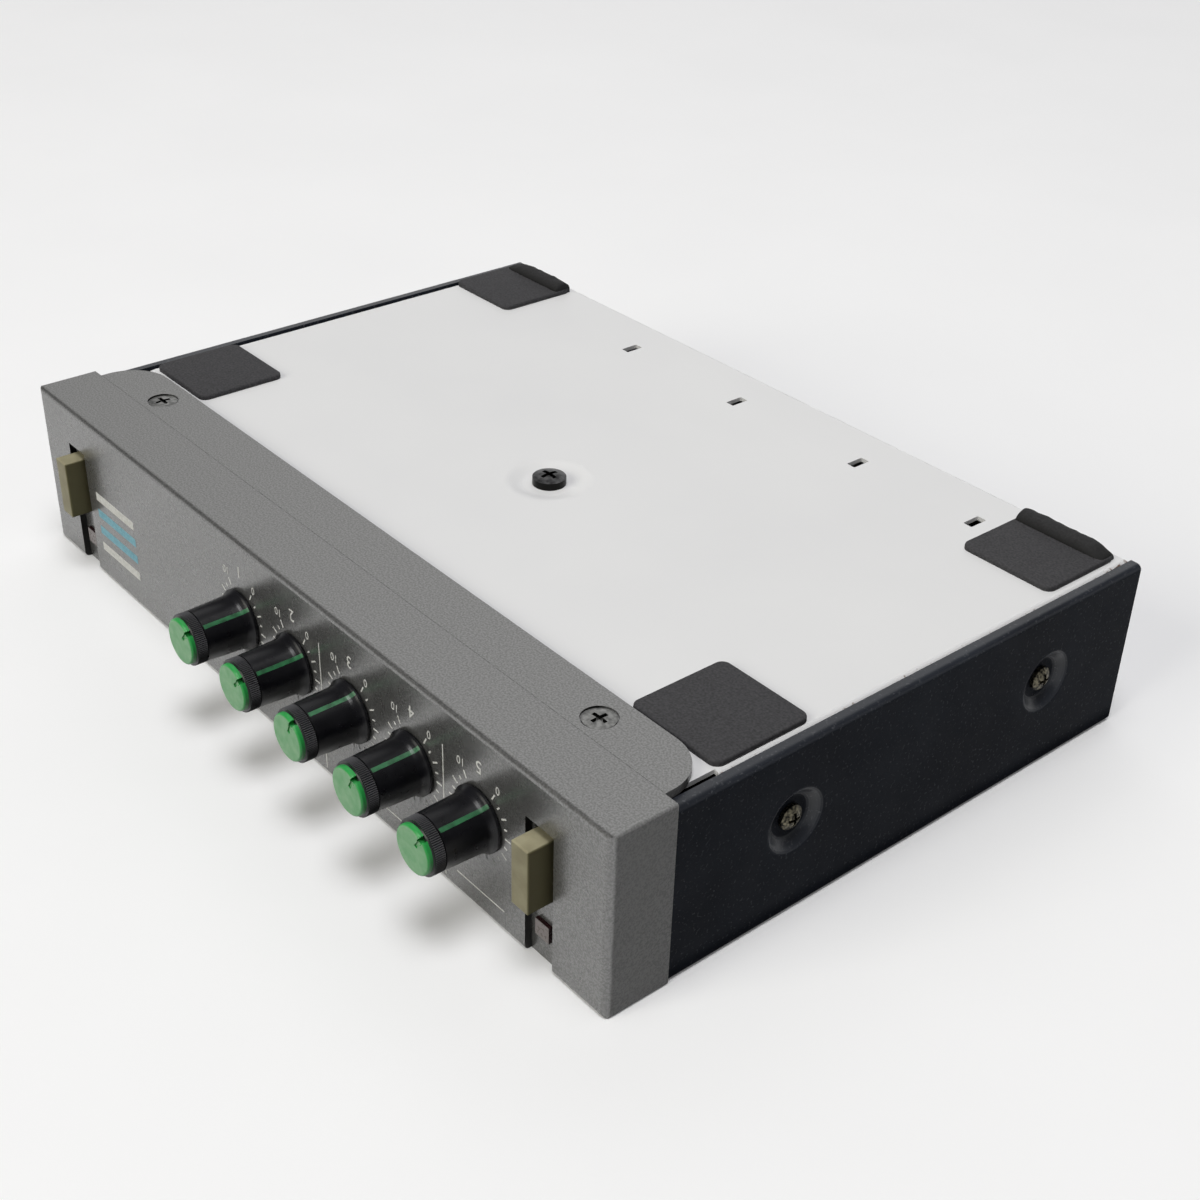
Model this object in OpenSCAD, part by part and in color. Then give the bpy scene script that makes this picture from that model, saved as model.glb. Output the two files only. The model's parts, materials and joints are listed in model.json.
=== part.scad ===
// Half-rack effects unit with five rotary controls and two push buttons.
// It lies on its cover, with the bottom plate and feet up. The front faces -Y and the jacks face +Y.
// Y is measured from the bezel's front face and Z from the cover's flat face, then part() centres it.

/* [Overall] */
// Width across the front bezel
body_w = 218; // [206:1:240]
// Height from the cover's flat face to the face of the bezel's flange
bezel_h = 42; // [41:0.5:48]
// Depth from the bezel's front face to the rear edge of the bottom plate
body_d = 148; // [140:1:175]

/* [Front bezel] */
// Thickness of the bezel's front wall
front_wall = 2.6; // [2.2:0.1:3.2]
// Thickness of the bezel's side returns
side_wall = 2.2; // [1.6:0.1:2.8]
// Thickness of the bezel's return beside the cover
cover_wall = 2; // [1.4:0.1:2.6]
// Depth of the side returns
return_d = 15; // [12:0.5:18]
// Depth of the flange that is screwed to the bottom plate
flange_d = 27.2; // [25:0.1:32]
// Thickness of that flange
flange_t = 1.8; // [1.6:0.1:2.4]
// Radius of the flange's two rear corners
tongue_r = 10.5; // [6:0.5:12]
// How far the flange's tongue stands in from the bezel's sides
tongue_inset = 3.6; // [2.8:0.1:5]
// Width of the fine moulding seam across the flange, behind the front part
seam_w = 0.25; // [0.2:0.05:0.6]
// Depth of that seam
seam_d = 0.05; // [0.05:0.05:0.3]
// Radius along the front edges of the flange and of the cover side
front_edge_r = 1.2; // [0.6:0.1:1.8]
// Radius of the two upright front corners
front_corner_r = 1.6; // [0.8:0.1:2]
// Radius of the long edges of the side returns
side_edge_r = 0.6; // [0.3:0.1:1]
// Thickness of the stiffening ribs behind the front wall
rib_t = 1.2; // [0.8:0.1:1.6]
// Height of those ribs
rib_d = 2.6; // [1.5:0.1:3.5]

/* [Button grooves] */
// Distance from the bezel's side to the centre of a button groove
groove_side = 18.6; // [16:0.1:22]
// Sideways offset of both grooves and their buttons, to the right
groove_shift = -0.6; // [-1:0.1:1]
// Width of a groove
groove_w = 8.1; // [7.8:0.1:9]
// Depth of a groove
groove_d = 1.6; // [1:0.1:1.8]
// Height of a groove, which is open at the cover side
groove_h = 32.1; // [31.8:0.1:34]
// Width of the button window in the groove's floor
window_w = 6.4; // [6:0.1:6.8]
// Floor left between the window's far end and the groove's end
window_end = 0.4; // [0.2:0.1:0.8]
// Gap between the window's near end and the button
window_gap = 0.5; // [0.3:0.1:1]
// Width of an indicator lens
lens_w = 4; // [3:0.1:5]
// Height of an indicator lens
lens_h = 3.8; // [3:0.1:4.4]
// Height of a lens's centre above the cover face
lens_z = 7.3; // [6.5:0.1:8]
// How far a lens stands proud of the groove's floor
lens_proud = 0.8; // [0.3:0.1:1]
// How far a lens reaches behind the bezel's front wall
lens_in = 0.8; // [0.4:0.1:1]
// Clearance round a lens in its window
lens_fit = 0.1; // [0.05:0.05:0.2]

/* [Push buttons] */
// Width of a button cap
button_w = 4.9; // [4.4:0.1:5.3]
// Length of a button cap
button_h = 14.6; // [13.5:0.1:15.4]
// How far a button stands out of the bezel
button_out = 4.5; // [3.4:0.1:5.5]
// How far a button reaches behind the bezel's face
button_in = 7; // [6:0.1:7.2]
// Travel of a button
button_travel = 3; // [2:0.1:3.2]
// Edge radius of a button cap
button_r = 0.4; // [0.2:0.05:0.6]
// Width of the square switch plunger
plunger_w = 3; // [2.6:0.1:3.2]
// Length of the plunger's end inside the button
plunger_grip = 3.9; // [3:0.1:4.5]
// Clearance round a plunger in its switch
plunger_fit = 0.2; // [0.1:0.05:0.25]
// Clearance round a plunger in its button
socket_fit = 0.05; // [0.02:0.01:0.1]
// Width of a push switch's case
switch_w = 9; // [7:0.1:10]
// Height of a push switch's case
switch_h = 16; // [12:0.1:17]
// Gap between a switch's case and the chassis
switch_gap = 0.5; // [0.3:0.1:0.8]
// Thickness of the wall at the back of a switch's case
switch_back = 1.2; // [0.8:0.1:1.6]

/* [Knobs] */
// Distance from the bezel's right side to the last knob
knob_side = 37; // [34:0.1:40]
// Distance between knobs
knob_pitch = 21.4; // [19.5:0.1:22.5]
// Height of the knobs and buttons above the cover face
control_z = 22.8; // [22.2:0.1:23]
// How far a knob stands out of the bezel
knob_reach = 15.1; // [14.6:0.1:18]
// Gap between a knob's skirt and the bezel
knob_gap = 0.4; // [0.3:0.05:0.8]
// Radius of the skirt at the bezel
skirt_r = 7; // [6.6:0.1:8]
// Thickness of the skirt's rim
rim_t = 0.5; // [0.4:0.1:1.2]
// Depth of the flare above that rim
skirt_d = 2; // [1:0.1:2.4]
// Radius of the body above the flare
grip_r = 6.1; // [6:0.05:6.4]
// Radius of the body at its front end
nose_r = 5.8; // [5.4:0.05:6]
// Width of the groove below the knurled ring
ring_gap = 0.2; // [0.1:0.05:0.5]
// Width of the knurled ring
knurl_w = 2.4; // [1.6:0.1:3]
// Number of teeth on the knurled ring
knurl_n = 84; // [30:1:96]
// Depth of the knurling
knurl_d = 0.2; // [0.1:0.05:0.3]
// Radius of the coloured cap
cap_r = 5.15; // [4.9:0.05:5.3]
// Height of the cap above the knurled ring
cap_h = 1.1; // [0.9:0.1:2]
// Edge radius of the cap
cap_edge_r = 0.5; // [0.2:0.1:0.8]
// Depth of the plug under the cap
plug_h = 0.8; // [0.5:0.05:0.9]
// How far that plug stands in from the cap's edge
plug_inset = 0.9; // [0.7:0.1:1.4]
// Clearance round that plug
plug_fit = 0.05; // [0.02:0.01:0.1]
// Width of the pointer notch in the cap
notch_w = 1.2; // [0.8:0.1:1.6]
// Length of the pointer notch in the cap
notch_l = 1.3; // [0.8:0.1:2]
// Length of the shallow line from that notch towards the middle
mark_l = 1.8; // [1:0.1:2.2]
// Width of that line
mark_w = 0.8; // [0.5:0.1:1.2]
// Depth of that line
mark_d = 0.3; // [0.1:0.05:0.4]
// Width of the pointer line along the body
line_w = 0.9; // [0.6:0.1:1.4]
// Distance from the knurled ring to that line
line_gap = 0.4; // [0.3:0.1:1.2]
// Depth of the pointer line's groove
line_d = 0.5; // [0.3:0.1:0.7]
// Directions of the five pointers, from +X towards +Z
pointer_degs = [47, 45, 65, 59, 55]; // [-235:1:65]

/* [Potentiometers] */
// Radius of a control shaft
shaft_r = 3; // [2.8:0.05:3.05]
// Distance from a shaft's axis to its flat
shaft_flat = 2.2; // [1.8:0.1:2.5]
// Running clearance between a shaft and its bush
shaft_fit = 0.05; // [0.02:0.01:0.08]
// Depth of a shaft in its case
shaft_in = 3; // [2:0.1:4]
// Clearance at the ends of a shaft
shaft_end = 0.2; // [0.1:0.05:0.4]
// Radius of a threaded bush
bush_r = 3.5; // [3.4:0.05:3.7]
// Radius of a case
pot_r = 8.2; // [7:0.1:9]
// Depth of a case
pot_d = 8.5; // [7:0.1:9.5]
// Gap between a bush and the bezel's front wall
bush_gap = 0.6; // [0.4:0.1:1]
// Radius of the solder pins behind a case
pin_r = 0.5; // [0.3:0.05:0.7]
// Length of the solder pins behind a case
pin_l = 1.5; // [1.2:0.1:2.5]
// Width across the flats of a bush nut
nut_af = 10; // [9:0.1:11]
// Thickness of a bush nut
nut_t = 2; // [1.5:0.1:2.2]

/* [Sheet metal] */
// Thickness of the cover, chassis and rear panel sheets
sheet = 1; // [0.8:0.05:1.1]
// Outer radius of the chassis and rear panel bends
bend_r = 1.4; // [1.2:0.1:1.8]
// Radius of the bottom plate's rear edge
rear_edge_r = 0.8; // [0.3:0.1:0.9]
// Outer radius of the cover's bends
cover_r = 1.3; // [1.2:0.1:2.4]
// How far the cover's sides stand in from the bezel's sides
cover_inset = 0.4; // [0.2:0.1:0.8]
// Gap between the bezel's returns and the cover
cover_gap = 0.4; // [0.2:0.1:0.8]
// Width of the cover's inturned lips
lip_w = 2.8; // [2.6:0.1:4]
// How far the lips stand above the bottom plate
lip_rise = 0.3; // [0.1:0.1:0.6]
// Gap between a lip and the bottom plate
lip_gap = 0.3; // [0.2:0.1:0.5]
// How far the front corners of the bottom plate are cut back
corner_cut = 1.5; // [1.2:0.1:2.5]
// How far that cut runs behind the flange
corner_run = 0.8; // [0.4:0.1:3]
// Distance from the bezel's front face to the chassis's front wall
front_wall_y = 9; // [8.8:0.1:10]
// Gap between the chassis walls and the cover's flat sheet
wall_gap = 2.2; // [1.5:0.1:3]
// Setback of the rear panel from the plate's rear edge
rear_setback = 0.5; // [0.2:0.1:1]
// Depth of the rear panel's folded ends
rear_fold = 8; // [6:0.5:12]

/* [Pressed forms] */
// Distance from the bezel's front to the front side screws
side_screw_front = 46; // [42:0.5:52]
// Distance from the rear edge to the rear side screws
side_screw_rear = 28; // [24:0.5:34]
// Height of the side screws above the cover face
side_screw_z = 22.4; // [18:0.1:25]
// Rim radius of the pressed dishes round the side screws
dish_rim_r = 7.6; // [7:0.1:9]
// Radius of the flat in those dishes
dish_flat_r = 4.2; // [3.8:0.1:5]
// Position of the centre screw from the middle of the plate
centre_x = 1.9; // [-10:0.1:10]
// Distance from the bezel's front to the centre screw
centre_y = 71.9; // [66:0.1:76]
// Rim radius of the dimple round the centre screw
dimple_rim_r = 10.4; // [8.5:0.1:11.5]
// Radius of the flat in that dimple
dimple_flat_r = 5.6; // [5:0.1:7.5]
// Depth of that dimple
dimple_d = 0.9; // [0.5:0.1:2]
// Positions of the four slots across the plate
slot_xs = [-42, -2, 39, 74.1]; // [-78:0.1:78]
// Corner radius of the four slots
slot_r = 0.3; // [0.1:0.05:0.5]
// Width of the four slots in the plate
slot_w = 2.4; // [1.6:0.1:3]
// Length of the four slots
slot_l = 5; // [3.5:0.1:6]
// Distance from the rear edge to the slots
slot_rear = 13.4; // [12:0.1:15]

/* [Feet] */
// Width of a foot
foot_w = 23.7; // [20:0.1:26]
// Length of a front foot
foot_front_l = 24; // [20:0.1:26]
// Length of a rear foot
foot_rear_l = 22.7; // [18:0.1:24]
// Corner radius of a foot
foot_r = 2.1; // [1.5:0.1:5]
// Thickness of a foot
foot_t = 1.2; // [0.8:0.1:2]
// Distance from the bezel's side to a foot
foot_side = 4.7; // [4.4:0.1:9]
// Gap between the flange and the front feet
foot_front_gap = 0.9; // [0.5:0.1:4]
// How much the left front foot is cut shorter at the flange
foot_cut = 1.2; // [0:0.1:2]
// Sideways offset of the rear feet
foot_rear_x = -0.9; // [-1:0.1:1]
// Distance from the rear edge to the rear feet
foot_rear_gap = 2.2; // [1.4:0.1:4]
// Height of the ridge on the rear feet above the plate
ridge_h = 3.8; // [3:0.1:4.5]
// Half width of that ridge
ridge_r = 2.8; // [2.2:0.1:3.2]
// How far that ridge overhangs the foot's rear edge
ridge_over = 0.3; // [0.1:0.1:1.2]
// Radius of the ridge's ends
ridge_end_r = 1.8; // [1:0.1:2.4]
// Distance from the ridge's ends to the foot's sides
ridge_end = 0.3; // [0.2:0.1:2]

/* [Rear sockets] */
// Distance from the side to the first jack
jack_side = 34; // [30:0.5:44]
// Distance between jacks
jack_pitch = 25; // [20:0.5:28]
// Height of the jacks above the cover face
jack_z = 23.5; // [22:0.1:24.5]
// Bore radius for a 6.35 mm plug
jack_bore_r = 3.25; // [3.2:0.01:3.3]
// Depth of that bore
jack_bore_l = 24; // [20:0.5:25]
// Radius of a jack's threaded nose
nose_thread_r = 4.7; // [4.4:0.05:5]
// How far the nose stands out of the rear panel
nose_out = 3; // [2.6:0.1:4]
// Width of a jack's body
jack_w = 16; // [14:0.5:18]
// Depth of a jack's body
jack_d = 22; // [21.5:0.1:24]
// Width across the flats of a jack nut
jack_nut_af = 12; // [11:0.1:14]
// Thickness of a jack nut
jack_nut_t = 1.9; // [1.5:0.1:2]
// Radius of a jack washer
washer_r = 7; // [6.5:0.1:8]
// Thickness of a jack washer
washer_t = 0.5; // [0.3:0.1:0.6]
// Clearance of nuts and washers round their threads
thread_fit = 0.05; // [0.02:0.01:0.1]
// Clearance of a socket's nose in the rear panel
panel_fit = 0.2; // [0.1:0.05:0.3]
// Edge radius of the socket bodies
socket_r = 0.5; // [0.2:0.1:0.8]
// Distance from the side to the power inlet
inlet_side = 27; // [20:0.5:34]
// Width of the inlet's body
inlet_w = 9; // [8.6:0.1:11]
// Height of the inlet's body
inlet_h = 12; // [10:0.1:14]
// Depth of the inlet's body
inlet_d = 14; // [12:0.1:16]
// Radius of the inlet's round collar
collar_r = 4.1; // [3.8:0.1:4.2]
// Bore radius of the power inlet
inlet_bore_r = 2.9; // [2.7:0.05:3.2]
// Depth of that bore
inlet_bore_l = 10; // [8:0.5:11]
// Radius of the inlet's centre pin
inlet_pin_r = 1; // [0.8:0.05:1.2]
// How far the centre pin stays behind the inlet's mouth
inlet_pin_back = 1; // [0.5:0.1:2]
// Distance from the side to the level switch
level_side = 62; // [58:0.5:70]
// Height of the level switch above the cover face
level_z = 20; // [17:0.1:23]
// Travel of the level switch
level_travel = 3; // [2:0.1:3.4]
// Width of the level switch's case
level_case_w = 13; // [11:0.1:15]
// Depth of the level switch's case
level_case_d = 6.5; // [5:0.1:8]
// Height of the level switch's case
level_case_h = 7; // [5:0.1:8]
// Width of the slider's base
slider_w = 5; // [4:0.1:5.5]
// Thickness of the slider's base
slider_t = 1.6; // [1.2:0.1:2.4]
// Height of the slider's base
slider_h = 3; // [2.6:0.1:3.4]
// Width and height of the slider's tip
slider_tip = 2.4; // [2:0.1:2.6]
// How far the slider's tip stands out of the rear panel
slider_out = 1.3; // [0.8:0.1:2]
// Clearance round the slider
slider_fit = 0.2; // [0.1:0.05:0.3]

/* [Boards] */
// Thickness of the circuit boards
board_t = 1.6; // [1.2:0.1:1.8]
// Length of the posts between the plate and the main board
post_l = 6.6; // [6:0.1:7.5]
// Distance from the bezel's front to the main board
board_front = 31; // [30:0.5:36]
// Distance from the rear edge to the main board
board_rear = 10; // [8:0.5:13]
// Gap between the main board and the chassis walls
board_gap = 9; // [6:0.5:14]
// Distance from a board post to the main board's edges
post_edge = 6; // [5:0.5:9]
// Width across the flats of a board post
post_af = 5.5; // [5:0.1:6.5]
// Width across the flats of the post under the centre screw
centre_post_af = 7.5; // [6.5:0.1:9]
// Distance from the buttons to the control board's ends
control_edge = 10; // [7:0.5:11]

/* [Inner parts] */
// Length of a circuit chip
chip_l = 20; // [14:0.5:24]
// Width of a circuit chip
chip_w = 6.4; // [6:0.1:8]
// Height of a circuit chip
chip_h = 3.6; // [3:0.1:4.5]
// Edge radius of the chips and the regulator
chip_r = 0.4; // [0.2:0.1:0.6]
// Distance between the chips of a row
chip_pitch = 30; // [26:0.5:32]
// Distance between the two rows of chips
chip_row = 26; // [20:0.5:30]
// Distance from the main board's left edge to the first chip
chip_x = 29.5; // [25:0.5:32]
// Distance from the main board's front edge to the first row of chips
chip_y = 22; // [20:0.5:26]
// Radius of a capacitor
can_r = 4; // [3:0.1:4.6]
// Height of a capacitor
can_h = 12; // [8:0.5:16]
// Distance between the two rows of capacitors
can_pitch = 14; // [12:0.5:15]
// Distance from one capacitor to the next along the board
can_step = 10; // [9.5:0.5:12]
// Distance from the main board's front edge to the first capacitor
can_y = 14; // [8:0.5:18]
// Distance from the main board's right edge to the capacitors
can_x = 47.5; // [36:0.5:50]
// Distance from a capacitor's end to its rolled groove
can_groove = 2.5; // [1.5:0.1:4]
// Radius of that groove
can_groove_r = 0.6; // [0.3:0.1:0.8]
// Distance from the main board's left edge to the middle of the heat sink
sink_x = 29; // [27:0.5:36]
// Distance from the main board's rear edge to the heat sink's back
sink_y = 26; // [24:0.5:30]
// Width of the heat sink
sink_w = 28; // [20:0.5:32]
// Depth of the heat sink
sink_d = 10; // [8:0.5:14]
// Height of the heat sink
sink_h = 20; // [14:0.5:24]
// Thickness of the heat sink's base
sink_t = 2; // [1.5:0.1:3]
// Thickness of a fin
fin_t = 1.4; // [1:0.1:2]
// Number of fins
fin_n = 6; // [4:1:8]
// Width of the regulator
reg_w = 10; // [9:0.1:11]
// Thickness of the regulator
reg_t = 4.5; // [4:0.1:5]
// Height of the regulator
reg_h = 16; // [12:0.5:18]
// Width of the flat cable
ribbon_w = 27; // [15:0.5:32]
// Thickness of the flat cable
ribbon_t = 1; // [0.8:0.1:1.4]
// Radius of the flat cable's bend
ribbon_r = 5; // [3:0.5:7]
// Distance from the middle to the flat cable's near edge
ribbon_x = 18; // [10:0.5:24]
// Length of the flat cable's upright run
ribbon_rise = 12; // [8:0.5:14]
// Length of an indicator lamp
lamp_l = 4; // [3:0.1:4.6]
// Height of an indicator lamp
lamp_h = 2.8; // [2:0.1:3]
// Width of an indicator lamp
lamp_w = 3; // [2:0.1:3.6]
// Width of a lamp's square leads
lead_w = 0.5; // [0.4:0.05:0.6]
// Distance between a lamp's leads
lead_pitch = 1.8; // [1.4:0.1:2.2]
// Gap between a lamp and its lens
lamp_gap = 0.2; // [0.1:0.05:0.4]

/* [Fasteners] */
// Shank radius of the machine screws
screw_r = 1.5; // [1.2:0.05:1.6]
// Head radius of the machine screws
screw_head_r = 2.7; // [2.5:0.1:3.2]
// Head height of the machine screws
screw_head_h = 1.9; // [1.5:0.1:2]
// Shank length of the side screws and the flange screws
screw_l = 6; // [5:0.5:8]
// Distance from the bezel's side to a flange screw
flange_screw_side = 26.5; // [24:0.1:30]
// Distance from the flange's rear edge to a flange screw
flange_screw_rear = 6.9; // [6:0.1:10]
// Sideways offset of both flange screws
flange_screw_shift = -1; // [-2:0.1:2]
// Radius of the flange screws' seats
csk_r = 3.7; // [3:0.1:3.8]
// Gap round the head of a flange screw
csk_gap = 0.35; // [0.2:0.05:0.4]
// Depth of the straight part of that seat
csk_rim = 0.5; // [0.4:0.1:0.6]
// Rise of the low dome of a flange screw
csk_crown = 0.25; // [0.1:0.05:0.35]
// Shank radius of the centre screw
centre_shank_r = 2; // [1.6:0.05:2.1]
// Head radius of the centre screw
centre_head_r = 3.9; // [3.5:0.1:4.5]
// Head height of the centre screw
centre_head_h = 2.4; // [1.8:0.1:2.8]
// Clearance of screws in their holes
hole_fit = 0.05; // [0.03:0.01:0.1]

/* [Hidden] */
$fn = 64;
eps = 0.01;
over = 1;
half_w = body_w / 2;
plate_z = bezel_h - flange_t;
plate_in = plate_z - sheet;
cover_half = half_w - cover_inset;
cover_y = return_d + cover_gap;
foot_mid = half_w - foot_side - foot_w / 2;
lip_z = plate_z + lip_rise;
lip_half = cover_half - lip_w;
chassis_half = lip_half - lip_gap;
chassis_in = chassis_half - sheet;
wall_low = sheet + wall_gap;
front_wall_in = front_wall_y + sheet;
corner_end = flange_d + corner_run;
dish_d = cover_half - sheet - chassis_half;
rear_face = body_d - rear_setback;
rear_in = rear_face - sheet;
jack_end = rear_face + nose_out;
mid_y = (jack_end - knob_reach) / 2;
groove_x = half_w - groove_side;
button_low = control_z - button_h / 2;
window_low = button_low - window_gap;
window_high = groove_h - window_end;
control_y = front_wall_in + pot_d + pin_l;
switch_y = front_wall_in + switch_gap;
board_low = plate_in - post_l - board_t;
board_half = chassis_in - board_gap;
board_end = body_d - board_rear;
knob_xs = [for (i = [0:4]) half_w - knob_side - (4 - i) * knob_pitch];
jack_xs = [for (i = [0:3]) -half_w + jack_side + i * jack_pitch];
inlet_x = half_w - inlet_side;
level_x = half_w - level_side;
jack_half = board_low - jack_z;
inlet_z = board_low - inlet_h / 2;
lamp_y = front_wall + lens_in + lamp_gap;
sink_back = board_end - sink_y;
sink_mid = -board_half + sink_x;
knurl_end = knob_reach - cap_h;
knurl_start = knurl_end - knurl_w;
grip_end = knurl_start - ring_gap;
ring_core_r = nose_r - 2 * knurl_d;
ring_chamfer = 0.2;
plug_r = cap_r - plug_inset;
knob_floor = 0.5;
shaft_top = knurl_end - plug_h - knob_floor - shaft_end;
line_start = knob_gap + rim_t;
line_end = knurl_start - line_gap;
hollow_d = 2;
hollow_wall = 1.2;
dish_steps = 8;
flare_steps = 6;
head_edge = 0.45;
centre_edge = 0.72;
recess_reach = 0.55;
recess_half = 0.13;
csk_land = 0.3;
csk_d = min(csk_r - screw_r, flange_t - csk_land);
csk_head_r = csk_r - csk_gap;
post_xs = [-board_half + post_edge, board_half - post_edge];
post_ys = [board_front + post_edge, board_end - jack_d];

// Moves a piece from the bezel's front face to the middle of the whole unit.
module part() translate([0, -mid_y, 0]) children();

// Extrudes an outline drawn in X and Z along Y.
module along_y(y0, y1) translate([0, y1, 0]) rotate([90, 0, 0]) linear_extrude(y1 - y0) children();

// Extrudes an outline drawn in Y and Z along X.
module along_x(x0, x1) translate([x0, 0, 0]) rotate([90, 0, 90]) linear_extrude(x1 - x0) children();

// Round bar along Z between two heights.
module rod(r, low, high) translate([0, 0, low]) cylinder(h = high - low, r = r);

// Box between two corners.
module box(low, high) translate(low) cube(high - low);

// Rectangle between two corners with true round corners.
module round_rect(low, high, r) {
    size = high - low;
    translate([low[0] + r, low[1]]) square([size[0] - 2 * r, size[1]]);
    translate([low[0], low[1] + r]) square([size[0], size[1] - 2 * r]);
    for (x = [low[0] + r, high[0] - r], y = [low[1] + r, high[1] - r])
        translate([x, y]) circle(r);
}

// Box between two corners with all its edges rounded.
module soft_box(low, high, r) intersection() {
    along_y(low[1], high[1]) round_rect([low[0], low[2]], [high[0], high[2]], r);
    along_x(low[0], high[0]) round_rect([low[1], low[2]], [high[1], high[2]], r);
    translate([0, 0, low[2]]) linear_extrude(high[2] - low[2])
        round_rect([low[0], low[1]], [high[0], high[1]], r);
}

// Stands children on the bezel's face: their +Z points out of it and their +X turns by the angle.
module on_front(x, z, deg = 0) translate([x, 0, z]) rotate([90, 0, 0]) rotate([0, 0, deg]) children();

// Stands children on the rear panel's face, with their +Z out of it.
module on_rear(x, z) translate([x, rear_face, z]) rotate([-90, 0, 0]) children();

// Places children at a knob, with their +Z out of the bezel and their +X along the pointer.
module at_knob(i) on_front(knob_xs[i], control_z, pointer_degs[i]) children();

// Places children at the middle of a button.
module at_button(side) translate([side * groove_x + groove_shift, 0, control_z]) children();

// Places children at a side screw, with their +Z out of the cover's side.
module at_side_screws() for (side = [-1, 1], y = [side_screw_front, body_d - side_screw_rear])
    translate([side * cover_half, y, side_screw_z]) rotate([0, side * 90, 0]) children();

module at_flange_screws() for (side = [-1, 1])
    translate([side * (half_w - flange_screw_side) + flange_screw_shift,
        flange_d - flange_screw_rear, bezel_h])
        children();

module at_posts() for (x = post_xs, y = post_ys) translate([x, y, 0]) children();

// Smooth step from the flat of a pressed dish up to its rim.
function dish_curve(flat_r, rim_r, depth, low) =
    [for (i = [0:dish_steps]) [flat_r + (rim_r - flat_r) * i / dish_steps,
        low + depth * (1 - cos(i * 180 / dish_steps)) / 2]];

// What a pressed dish takes out of a sheet whose face is at Z = 0.
module dish_cut(flat_r, rim_r, depth) rotate_extrude()
    polygon(concat([[0, over], [0, -depth]],
        dish_curve(flat_r, rim_r, depth + eps, -depth), [[rim_r, over]]));

// The metal that a pressed dish carries through to the back of a sheet.
module dish_back(flat_r, rim_r, depth) rotate_extrude()
    polygon(concat([[0, eps - sheet], [0, -depth - sheet]],
        dish_curve(flat_r, rim_r, depth + eps, -depth - sheet)));

// Domed screw head with a cross recess, seated at Z = 0, and its shank below.
module pan_screw(head_r, head_h, shank_r, shank_l, edge = head_edge) {
    crown = head_h * (1 - edge);
    dome_r = (head_r * head_r + crown * crown) / (2 * crown);
    difference() {
        intersection() {
            cylinder(h = head_h, r = head_r);
            translate([0, 0, head_h - dome_r]) sphere(dome_r);
        }
        cross_recess(head_r, head_h);
    }
    rod(shank_r, -shank_l, eps);
}

// Cross recess cut down from a head's top.
module cross_recess(head_r, top) for (turn = [0, 90]) rotate([0, 0, turn])
    box([-head_r * recess_reach, -head_r * recess_half, top * head_edge],
        [head_r * recess_reach, head_r * recess_half, top + over]);

// Hexagonal prism with a round bore.
module hex_nut(af, t, bore_r) difference() {
    cylinder(h = t, r = af / sqrt(3), $fn = 6);
    rod(bore_r, -over, t + over);
}

// Bottom plate with its side walls and front wall, folded from one sheet.
module chassis() color("gainsboro") part() difference() {
    union() {
        intersection() {
            along_y(corner_end, body_d) difference() {
                intersection() {
                    round_rect([-chassis_half, -plate_z], [chassis_half, plate_z], bend_r);
                    translate([-half_w, wall_low]) square([body_w, plate_z]);
                }
                translate([-chassis_in, 0]) square([2 * chassis_in, plate_in]);
            }
            along_x(-half_w, half_w) round_rect([-body_d, -plate_z], [body_d, plate_z], rear_edge_r);
        }
        along_x(-chassis_half + corner_cut, chassis_half - corner_cut) difference() {
            intersection() {
                round_rect([front_wall_y, -plate_z], [corner_end + bend_r + eps, plate_z], bend_r);
                translate([front_wall_y, wall_low]) square([corner_end + eps - front_wall_y, plate_z]);
            }
            translate([front_wall_in, 0]) square([body_d, plate_in]);
        }
        translate([centre_x, centre_y, plate_z]) dish_back(dimple_flat_r, dimple_rim_r, dimple_d);
    }
    translate([centre_x, centre_y, plate_z]) dish_cut(dimple_flat_r, dimple_rim_r, dimple_d);
    translate([centre_x, centre_y, 0]) rod(centre_shank_r + hole_fit, plate_in - dimple_d - over, plate_z);
    for (x = slot_xs) translate([0, 0, plate_in - over]) linear_extrude(sheet + 2 * over)
        round_rect([x - slot_w / 2, body_d - slot_rear - slot_l / 2],
            [x + slot_w / 2, body_d - slot_rear + slot_l / 2], slot_r);
    at_flange_screws() rod(screw_r + hole_fit, -flange_t - sheet - over, 0);
    at_side_screws() rod(screw_r + hole_fit, -dish_d - 2 * sheet - over, 0);
    for (x = knob_xs) on_front(x, control_z) rod(bush_r + hole_fit, -front_wall_in - over, 0);
    for (side = [-1, 1]) translate([side * groove_x + groove_shift, 0, 0])
        box([-switch_w / 2 - switch_gap, front_wall_y - over, lens_z - lens_h],
            [switch_w / 2 + switch_gap, front_wall_in + over, control_z + switch_h / 2 + switch_gap]);
}

// Rear panel with folded ends that are spot-welded inside the chassis walls.
module rear_panel() color("gainsboro") part() difference() {
    translate([0, 0, wall_low]) linear_extrude(plate_in - wall_low) difference() {
        intersection() {
            round_rect([-chassis_in, rear_face - 2 * rear_fold], [chassis_in, rear_face], bend_r);
            translate([-half_w, rear_face - rear_fold]) square([body_w, rear_fold]);
        }
        translate([-chassis_in + sheet, 0]) square([2 * (chassis_in - sheet), rear_in]);
    }
    for (x = jack_xs) on_rear(x, jack_z) rod(nose_thread_r + panel_fit, -sheet - over, over);
    on_rear(inlet_x, inlet_z) rod(collar_r + panel_fit, -sheet - over, over);
    translate([level_x, 0, level_z])
        box([-(level_travel + slider_tip) / 2 - slider_fit, rear_in - over, -slider_tip / 2 - slider_fit],
            [(level_travel + slider_tip) / 2 + slider_fit, rear_face + over, slider_tip / 2 + slider_fit]);
}

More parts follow.
